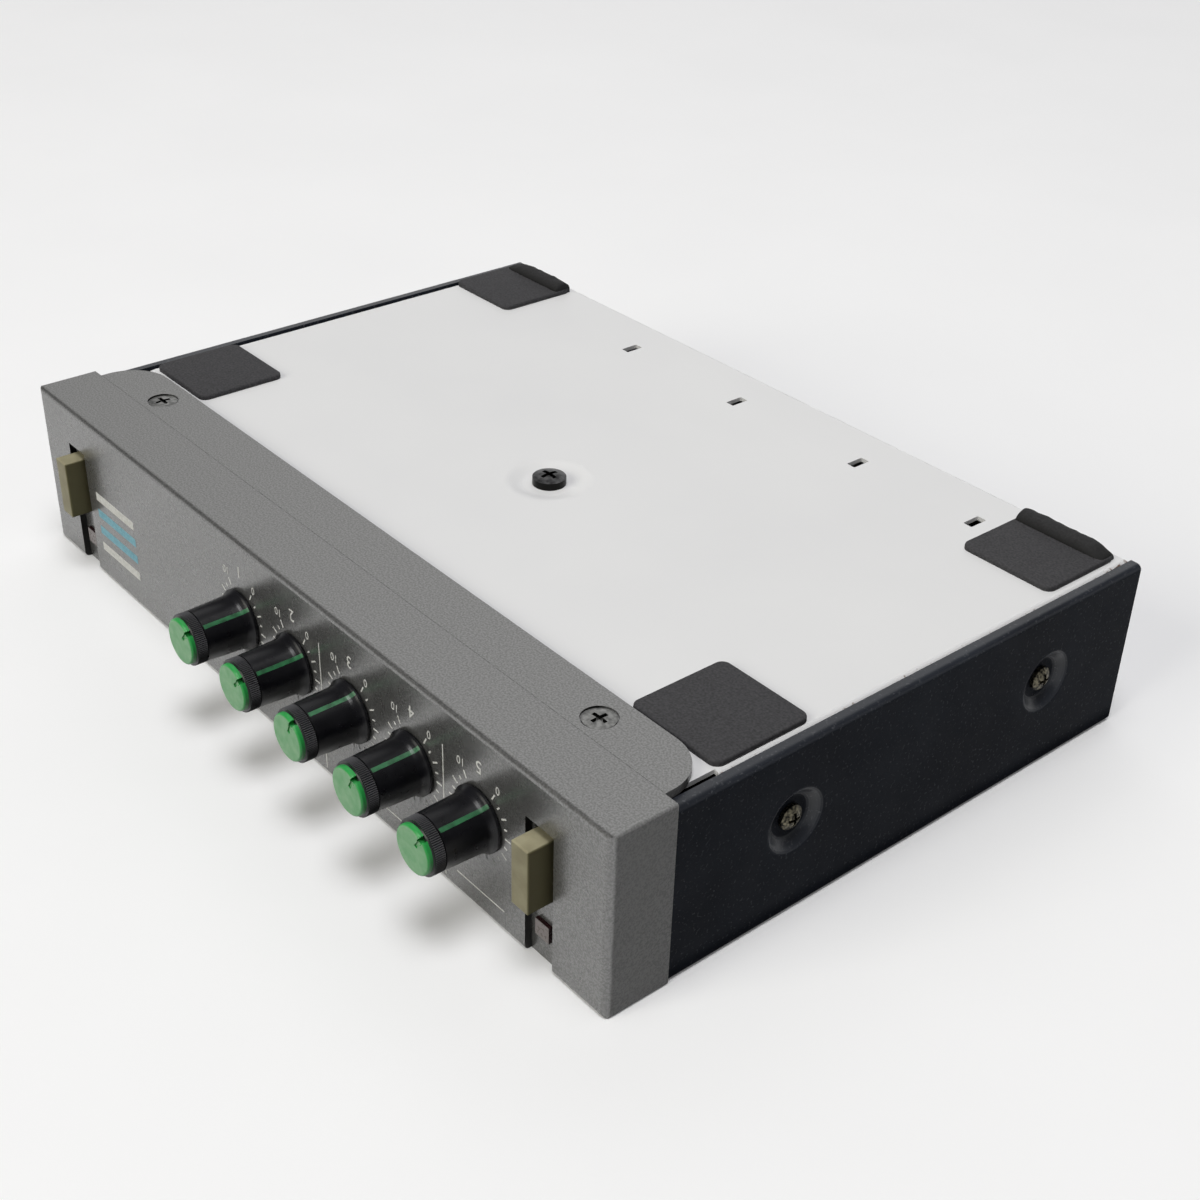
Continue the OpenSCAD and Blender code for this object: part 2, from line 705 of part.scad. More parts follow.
// Cover folded from one sheet: flat face, two sides and inturned lips, with four dishes in the sides.
module top_cover() color([0.11, 0.11, 0.13]) part() difference() {
    union() {
        along_y(cover_y, body_d) difference() {
            round_rect([-cover_half, 0], [cover_half, lip_z], cover_r);
            round_rect([-cover_half + sheet, sheet], [cover_half - sheet, lip_z - sheet], cover_r - sheet);
            translate([-lip_half, lip_z / 2]) square([2 * lip_half, lip_z]);
        }
        at_side_screws() dish_back(dish_flat_r, dish_rim_r, dish_d);
    }
    at_side_screws() dish_cut(dish_flat_r, dish_rim_r, dish_d);
    at_side_screws() rod(screw_r + 4 * hole_fit, -dish_d - sheet - over, 0);
}

// Moulded front with its returns, the screwed flange, shaft holes, grooves, windows and ribs.
module front_bezel() color([0.5, 0.5, 0.5]) part() difference() {
    union() {
        difference() {
            bezel_block();
            box([-half_w + side_wall, front_wall, cover_wall],
                [half_w - side_wall, return_d + over, plate_z]);
        }
        translate([0, 0, plate_z]) linear_extrude(flange_t)
            round_rect([-half_w + tongue_inset, return_d - tongue_r],
                [half_w - tongue_inset, flange_d], tongue_r);
        for (i = [0:5]) translate([knob_xs[0] + (i - 0.5) * knob_pitch - rib_t / 2, front_wall - eps, 0])
            cube([rib_t, rib_d + eps, plate_z + eps]);
    }
    for (x = knob_xs) on_front(x, control_z) rod(shaft_r + over, -front_wall - over, over);
    for (side = [-1, 1]) translate([side * groove_x + groove_shift, 0, 0]) {
        box([-groove_w / 2, -over, -over], [groove_w / 2, groove_d, groove_h]);
        box([-window_w / 2, 0, window_low], [window_w / 2, front_wall + over, window_high]);
        box([-lens_w / 2 - lens_fit, 0, lens_z - lens_h / 2 - lens_fit],
            [lens_w / 2 + lens_fit, front_wall + over, lens_z + lens_h / 2 + lens_fit]);
    }
    box([-half_w - over, return_d - seam_w / 2, bezel_h - seam_d],
        [half_w + over, return_d + seam_w / 2, bezel_h + over]);
    at_flange_screws() {
        rod(screw_r + 2 * hole_fit, -flange_t - over, over);
        rod(csk_r, -csk_rim, over);
        translate([0, 0, -csk_d]) cylinder(h = csk_d - csk_rim + eps, r1 = screw_r + 2 * hole_fit,
            r2 = csk_head_r + 2 * hole_fit);
    }
}

// Outer form of the bezel's front and returns.
module bezel_block() intersection() {
    along_y(0, return_d) round_rect([-half_w, 0], [half_w, bezel_h], side_edge_r);
    along_x(-half_w, half_w) intersection() {
        round_rect([0, 0], [2 * return_d, bezel_h], front_edge_r);
        square([return_d, bezel_h]);
    }
    linear_extrude(bezel_h) intersection() {
        round_rect([-half_w, 0], [half_w, 2 * return_d], front_corner_r);
        translate([-half_w, 0]) square([body_w, return_d]);
    }
}

// Flat square of rubber sheet stuck to the plate.
module foot_pad(mid, y, l) translate([mid, y, plate_z])
    linear_extrude(foot_t) round_rect([-foot_w / 2, 0], [foot_w / 2, l], foot_r);

// The front feet lie close behind the flange, and the left one is cut a little shorter there.
module front_feet() color([0.24, 0.23, 0.23]) part() {
    y = flange_d + foot_front_gap;
    foot_pad(foot_mid, y, foot_front_l);
    foot_pad(-foot_mid, y + foot_cut, foot_front_l - foot_cut);
}

// The rear feet have a rounded ridge along their rear edge.
module rear_feet() color([0.24, 0.23, 0.23]) part() for (side = [-1, 1]) {
    y = body_d - foot_rear_gap - foot_rear_l;
    mid = side * foot_mid + foot_rear_x;
    ridge_y = y + foot_rear_l - ridge_r + ridge_over;
    ridge_half = foot_w / 2 - ridge_end;
    foot_pad(mid, y, foot_rear_l);
    intersection() {
        along_x(mid - ridge_half, mid + ridge_half) intersection() {
            translate([ridge_y, plate_z + ridge_h - ridge_r]) circle(ridge_r);
            translate([0, plate_z]) square([2 * body_d, ridge_h + over]);
        }
        along_y(y, ridge_y + 2 * ridge_r) round_rect([mid - ridge_half, plate_z - ridge_h],
            [mid + ridge_half, plate_z + ridge_h + eps], ridge_end_r);
    }
}

// Main circuit board, which hangs from the plate on posts with its components towards the cover.
module main_board() color([0.55, 0.42, 0.2]) part() difference() {
    box([-board_half, board_front, board_low], [board_half, board_end, board_low + board_t]);
    at_posts() rod(screw_r + 2 * hole_fit, board_low - over, board_low + board_t + over);
}

// Upright board behind the controls, which carries the switches and indicators.
module control_board() color([0.55, 0.42, 0.2]) part()
    box([-groove_x - control_edge, control_y, wall_low + over],
        [groove_x + control_edge, control_y + board_t, board_low + board_t]);

// Hexagonal posts between the plate and the main board, with a shorter one under the dimple.
module board_posts() color("silver") part() {
    at_posts() translate([0, 0, board_low + board_t]) hex_nut(post_af, post_l, screw_r + hole_fit);
    translate([centre_x, centre_y, board_low + board_t])
        hex_nut(centre_post_af, post_l - dimple_d, centre_shank_r + hole_fit);
}

// Round cases with a bore for the shaft and three pins to the control board.
module pot_cases() color("silver") part() for (x = knob_xs) on_front(x, control_z)
    translate([0, 0, -front_wall_in]) {
        difference() {
            rod(pot_r, -pot_d, 0);
            rod(shaft_r + shaft_fit, -shaft_in - shaft_end, over);
        }
        for (i = [-1:1]) translate([i * pot_r / 2, -pot_r / 2, 0]) rod(pin_r, -pot_d - pin_l, eps - pot_d);
    }

// Threaded bushes that clamp the cases to the chassis's front wall.
module pot_bushes() color("goldenrod") part() for (x = knob_xs) on_front(x, control_z) difference() {
    rod(bush_r, -front_wall_in, -front_wall - bush_gap);
    rod(shaft_r + shaft_fit, -front_wall_in - over, 0);
}

module pot_nuts() color("silver") part() for (x = knob_xs) on_front(x, control_z)
    translate([0, 0, -front_wall_y]) hex_nut(nut_af, nut_t, bush_r + thread_fit);

// Push switch on the control board, with a square channel for its plunger.
module switch_case(side) color([0.9, 0.9, 0.86]) part() at_button(side) difference() {
    soft_box([-switch_w / 2, switch_y, -switch_h / 2], [switch_w / 2, control_y, switch_h / 2], socket_r);
    box([-plunger_w / 2 - plunger_fit, switch_y - over, -plunger_w / 2 - plunger_fit],
        [plunger_w / 2 + plunger_fit, control_y - switch_back, plunger_w / 2 + plunger_fit]);
}

module power_switch() switch_case(-1);
module effect_switch() switch_case(1);

// Indicator lens in the groove's floor.
module lens(side) color([0.25, 0.05, 0.08]) part() translate([side * groove_x + groove_shift, 0, lens_z])
    box([-lens_w / 2, groove_d - lens_proud, -lens_h / 2], [lens_w / 2, front_wall + lens_in, lens_h / 2]);

module power_lens() lens(-1);
module effect_lens() lens(1);

// Indicator lamps behind the lenses, on leads from the control board.
module indicator_leds() color([0.6, 0.1, 0.1]) part() for (side = [-1, 1])
    translate([side * groove_x + groove_shift, 0, lens_z]) {
        soft_box([-lamp_w / 2, lamp_y, -lamp_h / 2], [lamp_w / 2, lamp_y + lamp_l, lamp_h / 2], chip_r);
        for (lead = [-1, 1]) translate([lead * lead_pitch / 2, 0, 0])
            box([-lead_w / 2, lamp_y + lamp_l - eps, -lead_w / 2], [lead_w / 2, control_y, lead_w / 2]);
    }

// Board jack for a 6.35 mm plug, with a threaded nose through the rear panel.
module jack(i) color([0.12, 0.12, 0.12]) part() difference() {
    union() {
        translate([jack_xs[i], rear_in, jack_z])
            soft_box([-jack_w / 2, -jack_d, -jack_half], [jack_w / 2, 0, jack_half], socket_r);
        on_rear(jack_xs[i], jack_z) rod(nose_thread_r, -sheet - over, nose_out);
    }
    on_rear(jack_xs[i], jack_z) rod(jack_bore_r, nose_out - jack_bore_l, nose_out + over);
}

module input_jack() jack(0);
module output_a_jack() jack(1);
module output_b_jack() jack(2);
module remote_jack() jack(3);

module jack_washers() color("silver") part() for (x = jack_xs) on_rear(x, jack_z) difference() {
    cylinder(h = washer_t, r = washer_r);
    rod(nose_thread_r + thread_fit, -over, washer_t + over);
}

module jack_nuts() color("silver") part() for (x = jack_xs) on_rear(x, jack_z)
    translate([0, 0, washer_t]) hex_nut(jack_nut_af, jack_nut_t, nose_thread_r + thread_fit);

// Socket for the adaptor's barrel plug.
module power_inlet() color([0.12, 0.12, 0.12]) part() difference() {
    union() {
        translate([inlet_x, rear_in, inlet_z])
            soft_box([-inlet_w / 2, -inlet_d, -inlet_h / 2], [inlet_w / 2, 0, inlet_h / 2], socket_r);
        on_rear(inlet_x, inlet_z) rod(collar_r, -sheet - over, 0);
    }
    on_rear(inlet_x, inlet_z) rod(inlet_bore_r, -inlet_bore_l, over);
}

module inlet_pin() color("silver") part() on_rear(inlet_x, inlet_z) translate([0, 0, -inlet_bore_l]) {
    pin_h = inlet_bore_l - inlet_pin_back - inlet_pin_r;
    cylinder(h = pin_h, r = inlet_pin_r);
    translate([0, 0, pin_h]) sphere(inlet_pin_r);
}

// Slide switch behind the rear panel, with a channel for its slider.
module level_switch() color([0.75, 0.75, 0.75]) part() translate([level_x, rear_in, level_z]) difference() {
    reach = (slider_w + level_travel) / 2 + slider_fit;
    box([-level_case_w / 2, -level_case_d, -level_case_h / 2], [level_case_w / 2, 0, level_case_h / 2]);
    box([-reach, -slider_t - 2 * slider_fit, -slider_h / 2 - slider_fit],
        [reach, over, slider_h / 2 + slider_fit]);
}

// Slider of the level switch, at the left end of its travel.
module level_slider() color([0.12, 0.12, 0.12]) part()
    translate([level_x - level_travel / 2, rear_in, level_z]) {
        tip = slider_tip / 2;
        box([-slider_w / 2, -slider_t - slider_fit, -slider_h / 2],
            [slider_w / 2, -slider_fit, slider_h / 2]);
        soft_box([-tip, -slider_t, -tip], [tip, sheet + slider_out, tip], chip_r);
    }

module side_screws() color([0.3, 0.27, 0.2]) part() at_side_screws() translate([0, 0, -dish_d])
    pan_screw(screw_head_r, screw_head_h, screw_r, screw_l);

// Countersunk screws with a low dome that is flush with the flange.
module bezel_screws() color([0.25, 0.25, 0.25]) part() at_flange_screws() {
    dome_r = (csk_head_r * csk_head_r + csk_crown * csk_crown) / (2 * csk_crown);
    difference() {
        union() {
            translate([0, 0, -csk_d]) cylinder(h = csk_d - csk_rim, r1 = screw_r, r2 = csk_head_r);
            intersection() {
                rod(csk_head_r, -csk_rim - eps, over);
                translate([0, 0, -dome_r]) sphere(dome_r);
            }
        }
        translate([0, 0, -csk_d]) cross_recess(csk_head_r, csk_d);
    }
    rod(screw_r, -screw_l, eps - csk_d);
}

module centre_screw() color([0.08, 0.08, 0.08]) part() translate([centre_x, centre_y, plate_z - dimple_d])
    pan_screw(centre_head_r, centre_head_h, centre_shank_r, post_l - dimple_d, centre_edge);

module board_screws() color("silver") part() at_posts() translate([0, 0, board_low]) mirror([0, 0, 1])
    pan_screw(screw_head_r, screw_head_h, screw_r, board_t + post_l - over);

// Dual in-line packages on the main board.
module circuit_chips() color([0.1, 0.1, 0.1]) part() for (row = [0:1], i = [0:3])
    translate([chip_x - board_half + i * chip_pitch, board_front + chip_y + row * chip_row, board_low])
        soft_box([-chip_l / 2, -chip_w / 2, -chip_h], [chip_l / 2, chip_w / 2, 0], chip_r);

// Electrolytic capacitors on the main board, in two staggered rows.
module capacitors() color([0.12, 0.15, 0.3]) part() for (i = [0:4])
    translate([board_half - can_x + (i % 2) * can_pitch, board_front + can_y + i * can_step, board_low])
        mirror([0, 0, 1]) difference() {
            cylinder(h = can_h, r = can_r);
            translate([0, 0, can_h - can_groove]) rotate_extrude()
                translate([can_r + can_groove_r / 2, 0]) circle(can_groove_r);
        }

// Voltage regulator with its tab against the heat sink.
module regulator() color([0.1, 0.1, 0.1]) part()
    translate([sink_mid, sink_back, board_low])
        soft_box([-reg_w / 2, 0, -reg_h], [reg_w / 2, reg_t, 0], chip_r);

// Finned heat sink that stands on the main board.
module heat_sink() color("silver") part() translate([sink_mid, sink_back, board_low - sink_h])
    linear_extrude(sink_h) {
        translate([-sink_w / 2, -sink_t]) square([sink_w, sink_t]);
        for (i = [0:fin_n - 1]) translate([-sink_w / 2 + i * (sink_w - fin_t) / (fin_n - 1), -sink_d])
            square([fin_t, sink_d - eps]);
    }

// Flat cable from the control board to the main board, bent once.
module ribbon_cable() color([0.6, 0.6, 0.62]) part() along_x(-ribbon_x - ribbon_w, -ribbon_x) {
    start = control_y + board_t;
    turn_y = board_front + ribbon_t;
    turn_z = board_low - ribbon_rise;
    translate([start, turn_z - ribbon_r]) square([turn_y - start, ribbon_t]);
    translate([turn_y, turn_z]) intersection() {
        difference() {
            circle(ribbon_r);
            circle(ribbon_r - ribbon_t);
        }
        translate([0, -ribbon_r]) square(ribbon_r);
    }
    translate([turn_y + ribbon_r - ribbon_t, turn_z]) square([ribbon_t, ribbon_rise]);
}

// Outline of a knob from its skirt to the seat of the cap.
function knob_outline() = concat(
    [[skirt_r, knob_gap]],
    [for (i = [0:flare_steps]) [grip_r + (skirt_r - grip_r) * pow(1 - i / flare_steps, 2),
        knob_gap + rim_t + skirt_d * i / flare_steps]],
    [[nose_r, grip_end], [ring_core_r, grip_end], [ring_core_r, knurl_end - ring_chamfer],
        [min(ring_core_r, cap_r), knurl_end], [0, knurl_end], [0, knob_gap]]);

// Space that the pointer line takes along a knob's body.
module line_space(grow) box([nose_r - line_d - grow, -line_w / 2 - grow, line_start],
    [skirt_r + over, line_w / 2 + grow, line_end]);

// Shaft with a flat that keys the knob.
module shaft_form(r, flat, low, high) intersection() {
    rod(r, low, high);
    box([-r - over, -r - over, low - over], [flat, r + over, high + over]);
}

// Body of a knob: flared skirt, smooth grip, knurled ring, keyed bore and hollow underside.
module knob_body(i) color([0.05, 0.05, 0.06]) part() at_knob(i) difference() {
    union() {
        rotate_extrude() polygon(knob_outline());
        translate([0, 0, knurl_start]) linear_extrude(knurl_w - ring_chamfer)
            polygon([for (k = [0:2 * knurl_n - 1]) (nose_r - (k % 2) * knurl_d)
                * [cos(k * 180 / knurl_n), sin(k * 180 / knurl_n)]]);
    }
    line_space(eps);
    shaft_form(shaft_r + shaft_fit, shaft_flat + shaft_fit, 0, shaft_top + shaft_end);
    cylinder(h = knob_gap + hollow_d, r = grip_r - hollow_wall);
    rod(plug_r, knurl_end - plug_h, knurl_end + over);
}

// Coloured cap with a plug, a rounded edge, a pointer notch and a shallow pointer line.
module cap_body(i) color([0.25, 0.67, 0.36]) part() at_knob(i) difference() {
    plug_low = knurl_end - plug_h + plug_fit;
    notch_x = cap_r - notch_l;
    rotate_extrude() polygon(concat(
        [[0, plug_low], [plug_r - plug_fit, plug_low], [plug_r - plug_fit, knurl_end], [cap_r, knurl_end]],
        [for (k = [0:flare_steps]) [cap_r - cap_edge_r + cap_edge_r * cos(k * 90 / flare_steps),
            knob_reach - cap_edge_r + cap_edge_r * sin(k * 90 / flare_steps)]],
        [[0, knob_reach]]));
    box([notch_x, -notch_w / 2, knurl_end - over], [cap_r + over, notch_w / 2, knob_reach + over]);
    box([notch_x - mark_l, -mark_w / 2, knob_reach - mark_d],
        [notch_x + eps, mark_w / 2, knob_reach + over]);
}

module line_body(i) color([0.28, 0.6, 0.38]) part() at_knob(i) intersection() {
    rotate_extrude() polygon(knob_outline());
    line_space(0);
}

module shaft_body(i) color("silver") part() at_knob(i) {
    shaft_form(shaft_r, shaft_flat, -eps, shaft_top);
    rod(shaft_r, -front_wall_in - shaft_in, 0);
}

// Button cap with a socket for the plunger.
module button_cap(side) color([0.58, 0.56, 0.44]) part() at_button(side) difference() {
    soft_box([-button_w / 2, -button_out, -button_h / 2],
        [button_w / 2, button_in, button_h / 2], button_r);
    box([-plunger_w / 2 - socket_fit, button_in - plunger_grip - socket_fit, -plunger_w / 2 - socket_fit],
        [plunger_w / 2 + socket_fit, button_in + over, plunger_w / 2 + socket_fit]);
}

module plunger(side) color([0.9, 0.9, 0.9]) part() at_button(side)
    box([-plunger_w / 2, button_in - plunger_grip, -plunger_w / 2],
        [plunger_w / 2, control_y - switch_back - plunger_fit - button_travel, plunger_w / 2]);

module power_button() button_cap(-1);
module power_plunger() plunger(-1);
module effect_button() button_cap(1);
module effect_plunger() plunger(1);

chassis();
rear_panel();
top_cover();
front_bezel();
front_feet();
rear_feet();
main_board();
control_board();
board_posts();
pot_cases();
pot_bushes();
pot_nuts();
power_switch();
effect_switch();
power_lens();
effect_lens();
indicator_leds();
input_jack();
output_a_jack();
output_b_jack();
remote_jack();
jack_washers();
jack_nuts();
power_inlet();
inlet_pin();
level_switch();
side_screws();
bezel_screws();
centre_screw();
board_screws();
circuit_chips();
capacitors();
regulator();
heat_sink();
ribbon_cable();
for (i = [0:4]) {
    knob_body(i);
    cap_body(i);
    line_body(i);
    shaft_body(i);
}
power_button();
power_plunger();
effect_button();
effect_plunger();
level_slider();
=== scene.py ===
"""Looks of a half-rack effects unit that lies on its cover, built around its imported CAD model."""
import json
import math

import bmesh
import bpy
from bpy.props import FloatProperty, FloatVectorProperty, IntProperty, PointerProperty, StringProperty
from mathutils import Matrix, Vector, noise


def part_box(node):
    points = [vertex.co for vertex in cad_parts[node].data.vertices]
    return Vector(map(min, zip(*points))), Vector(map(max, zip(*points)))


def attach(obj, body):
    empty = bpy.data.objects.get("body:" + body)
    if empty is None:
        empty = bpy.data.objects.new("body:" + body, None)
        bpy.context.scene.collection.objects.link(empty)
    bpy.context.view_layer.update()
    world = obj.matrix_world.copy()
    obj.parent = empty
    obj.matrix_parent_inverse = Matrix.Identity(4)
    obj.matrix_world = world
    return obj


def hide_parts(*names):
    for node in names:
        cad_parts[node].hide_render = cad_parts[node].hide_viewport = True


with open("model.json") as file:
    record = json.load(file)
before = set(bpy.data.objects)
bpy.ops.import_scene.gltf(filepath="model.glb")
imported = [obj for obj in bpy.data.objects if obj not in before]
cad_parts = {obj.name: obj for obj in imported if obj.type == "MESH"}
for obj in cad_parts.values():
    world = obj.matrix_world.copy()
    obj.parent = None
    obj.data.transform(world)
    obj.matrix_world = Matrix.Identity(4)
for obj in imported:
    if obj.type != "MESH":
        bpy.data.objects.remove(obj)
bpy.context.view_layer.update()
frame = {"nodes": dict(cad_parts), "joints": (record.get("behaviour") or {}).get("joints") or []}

bl_info = {
    "name": "Half-rack effects unit",
    "version": (1, 0, 0),
    "blender": (4, 5, 0),
    "location": "3D View > Sidebar > Effects unit",
    "description": "Gives a packed half-rack effects unit its finishes, panel marks, feet and studio stage",
    "category": "Object",
}

MM = 0.001
NODES = frame["nodes"]
HOUSING = "housing"
BEZEL_LOW, BEZEL_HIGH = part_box("front_bezel")
PLATE_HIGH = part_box("chassis")[1]
KNOB_AXES = [Vector(j["pos_m"]) for j in frame["joints"] if j["name"].startswith("control_")]
KNOB_NUMBERS = range(1, len(KNOB_AXES) + 1)
KNURL_TIP, KNURL_WIDTH = 5.8 * MM, 2.4 * MM  # radius and width of the knurled ring
TOOTH_WEAR_AND_HIGHLIGHT = 0.2 * MM  # how deep the teeth's tips are greyed, as rubbed wear and painted highlight
BEZEL_RETURN = 5 * MM  # the bezel's ends, which keep the grey and get no painted shade
RUST_SIDE, RUST_REAR, RUST_TOP = 3 * MM, 16 * MM, 2 * MM  # rust keeps to this band along the plate's edges
STAIN_PITCH, STAIN_OUTER, STAIN_INNER = 38, 0.6, 0.2  # millimetres between stains, and their radii
GLOSS_START, GLOSS_FULL = 2 * MM, 5 * MM  # heights over which the cover's gloss fades in, above its lower bend
PAD_SKIN, CREASE_HEIGHT = 0.05 * MM, 2 * MM  # what is above the pad's skin is ridge, with painted shade thickest up to this height
LUMP_LARGE, LUMP_SMALL = 4.5 * MM, 1.6 * MM  # widths of the lumps in a ridge
SMALL_SHARE, LUMP_DROP = 0.6, 1.3  # weight of the small lumps, and what keeps every lump below the ridge's top
RIDGE_TIP, RIDGE_SQUARE, RIDGE_ROUND = 0.3, 12, 0.7  # height of a ridge's ends, and how square and full it is
RIDGE_LEAST = 0.0004  # keeps the last rings of a ridge open
WEAR_START = 0.35  # part of the way out at which a ridge starts to be worn down
DIVIDER_SHIFT = 0.6 * MM  # the dividing lines stand this far left of the middle between two knobs
FONT_SCALE = 1.35  # size of the lettering's body for figures one unit high
PAPER_NEAR, PAPER_FAR, PAPER_LIFT = 0.6, 1.8, 0.09  # metres over which the paper fades, and its own glow
BACKDROP_TOP, BACKDROP_FULL = 0.28, 0.1  # upward slope at which the backdrop ends, and below which it is full
FILM_WIDTH = 36  # millimetres, as the camera takes it


# Colours and shader nodes

def srgb(hex_text):
    """Turns an sRGB hex colour into the linear colour that shaders take."""
    parts = [int(hex_text[i:i + 2], 16) / 255 for i in (1, 3, 5)]
    return [c / 12.92 if c <= 0.04045 else ((c + 0.055) / 1.055) ** 2.4 for c in parts] + [1.0]


def add(tree, kind, inputs=None, **settings):
    """Adds a shader node. Each input takes a link from a socket, or else a fixed value."""
    made = tree.nodes.new(kind)
    for name, value in settings.items():
        setattr(made, name, value)
    for name, value in (inputs or {}).items():
        if isinstance(value, bpy.types.NodeSocket):
            tree.links.new(value, made.inputs[name])
        else:
            made.inputs[name].default_value = value
    return made


def start_material(name, **shader_values):
    """A new material, its node tree, its main shader and the object's own coordinates."""
    made = bpy.data.materials.new(name)
    made.use_nodes = True
    tree = made.node_tree
    shader = tree.nodes["Principled BSDF"]
    for key, value in shader_values.items():
        shader.inputs[key.replace("_", " ")].default_value = value
    return made, tree, shader, add(tree, "ShaderNodeTexCoord").outputs["Object"]


def per_metre(size_mm):
    """Scale of a pattern whose features are this many millimetres across."""
    return 1 / (size_mm * MM)


def patches(tree, place, size_mm, start=0.0, full=1.0, low=0.0, high=1.0, detail=4):
    """A value that goes from low to high in soft patches of that size. They thicken from start to full."""
    cloud = add(tree, "ShaderNodeTexNoise", {"Vector": place, "Scale": per_metre(size_mm), "Detail": detail})
    return add(tree, "ShaderNodeMapRange", {"Value": cloud.outputs["Fac"], "From Min": start, "From Max": full,
                                            "To Min": low, "To Max": high}).outputs["Result"]


def lay_over(tree, shader, mask, hex_text):
    """Lays a colour over the one that the surface has so far, as thickly as the mask says."""
    base = shader.inputs["Base Color"]
    below = base.links[0].from_socket if base.is_linked else base.default_value
    over = add(tree, "ShaderNodeMix", {"Factor": mask, "A": below, "B": srgb(hex_text)}, data_type="RGBA")
    tree.links.new(over.outputs["Result"], base)


def shade_between(tree, shader, place, size_mm, dark, light, start=0.35, full=0.65, detail=4):
    """Cloudy colour between two hex shades, with clouds of that size."""
    shader.inputs["Base Color"].default_value = srgb(dark)
    lay_over(tree, shader, patches(tree, place, size_mm, start, full, detail=detail), light)


def roughen(tree, shader, place, size_mm, low, high, stretch=(1, 1, 1)):
    """Roughness that wanders between two values, over patches of that size."""
    scaled = add(tree, "ShaderNodeMapping", {"Vector": place, "Scale": stretch}).outputs["Vector"]
    tree.links.new(patches(tree, scaled, size_mm, low=low, high=high, detail=2), shader.inputs["Roughness"])


def grain(tree, shader, place, size_mm, depth_mm, detail=3):
    """Fine relief of that grain size and depth."""
    bump = add(tree, "ShaderNodeBump", {"Height": patches(tree, place, size_mm, detail=detail), "Strength": 1.0,
                                        "Distance": depth_mm * MM})
    tree.links.new(bump.outputs["Normal"], shader.inputs["Normal"])


def facing(tree, axis, start, full, low=0.0, high=1.0):
    """A value that goes from low to high as the surface turns to face along an axis, either way."""
    normal = add(tree, "ShaderNodeNewGeometry").outputs["Normal"]
    along = add(tree, "ShaderNodeSeparateXYZ", {"Vector": normal}).outputs[axis]
    either = add(tree, "ShaderNodeMath", {0: along}, operation="ABSOLUTE").outputs[0]
    return add(tree, "ShaderNodeMapRange", {"Value": either, "From Min": start, "From Max": full, "To Min": low,
                                            "To Max": high}).outputs["Result"]


def seen_rays(tree):
    """1 for the camera's, mirrored and refracted rays, and 0 for light that lands on the object."""
    rays = add(tree, "ShaderNodeLightPath").outputs
    seen = add(tree, "ShaderNodeMath", {0: rays["Is Camera Ray"], 1: rays["Is Glossy Ray"]},
               operation="MAXIMUM").outputs[0]
    return add(tree, "ShaderNodeMath", {0: seen, 1: rays["Is Transmission Ray"]},
               operation="MAXIMUM").outputs[0]


# Materials

def grey_flake_paint(colours):
    """ABS moulding sprayed with grey flake paint from the front: a satin metal sheen there that mirrors the
    knobs softly, a drier flake on the flange and a matt overspray on the sides. The walls of the grooves are
    painted near-black as painted shade."""
    made, tree, shader, place = start_material("abs_sprayed_grey_flake_paint", Specular_IOR_Level=0.35)
    # The flakes are finer than this, and are drawn at 0.4 mm so that they show.
    shade_between(tree, shader, place, 0.4, colours.bezel_dark, colours.bezel_light, 0.4, 0.6, detail=2)
    # Painted shade: the sideways-facing walls inside the bezel's ends, in the grooves and button windows, get a
    # near-black colour.
    across = add(tree, "ShaderNodeSeparateXYZ", {"Vector": place}).outputs["X"]
    out = add(tree, "ShaderNodeMath", {0: across}, operation="ABSOLUTE").outputs[0]
    inner = add(tree, "ShaderNodeMath", {0: out, 1: BEZEL_HIGH.x - BEZEL_RETURN}, operation="LESS_THAN")
    bare = add(tree, "ShaderNodeMath", {0: inner.outputs[0], 1: facing(tree, "X", 0.5, 0.8)},
               operation="MULTIPLY")
    lay_over(tree, shader, bare.outputs[0], colours.bezel_bare)
    metal = add(tree, "ShaderNodeMath", {0: facing(tree, "Y", 0.15, 0.45, 0.05, 0.7),
                                         1: facing(tree, "Z", 0.45, 0.8, 0, 0.3)}, operation="MAXIMUM")
    tree.links.new(metal.outputs[0], shader.inputs["Metallic"])
    roughen(tree, shader, place, 6, facing(tree, "Y", 0.15, 0.45, 0.45, 0.24),
            facing(tree, "Y", 0.15, 0.45, 0.52, 0.31))
    grain(tree, shader, place, 0.4, 0.0008)
    return made


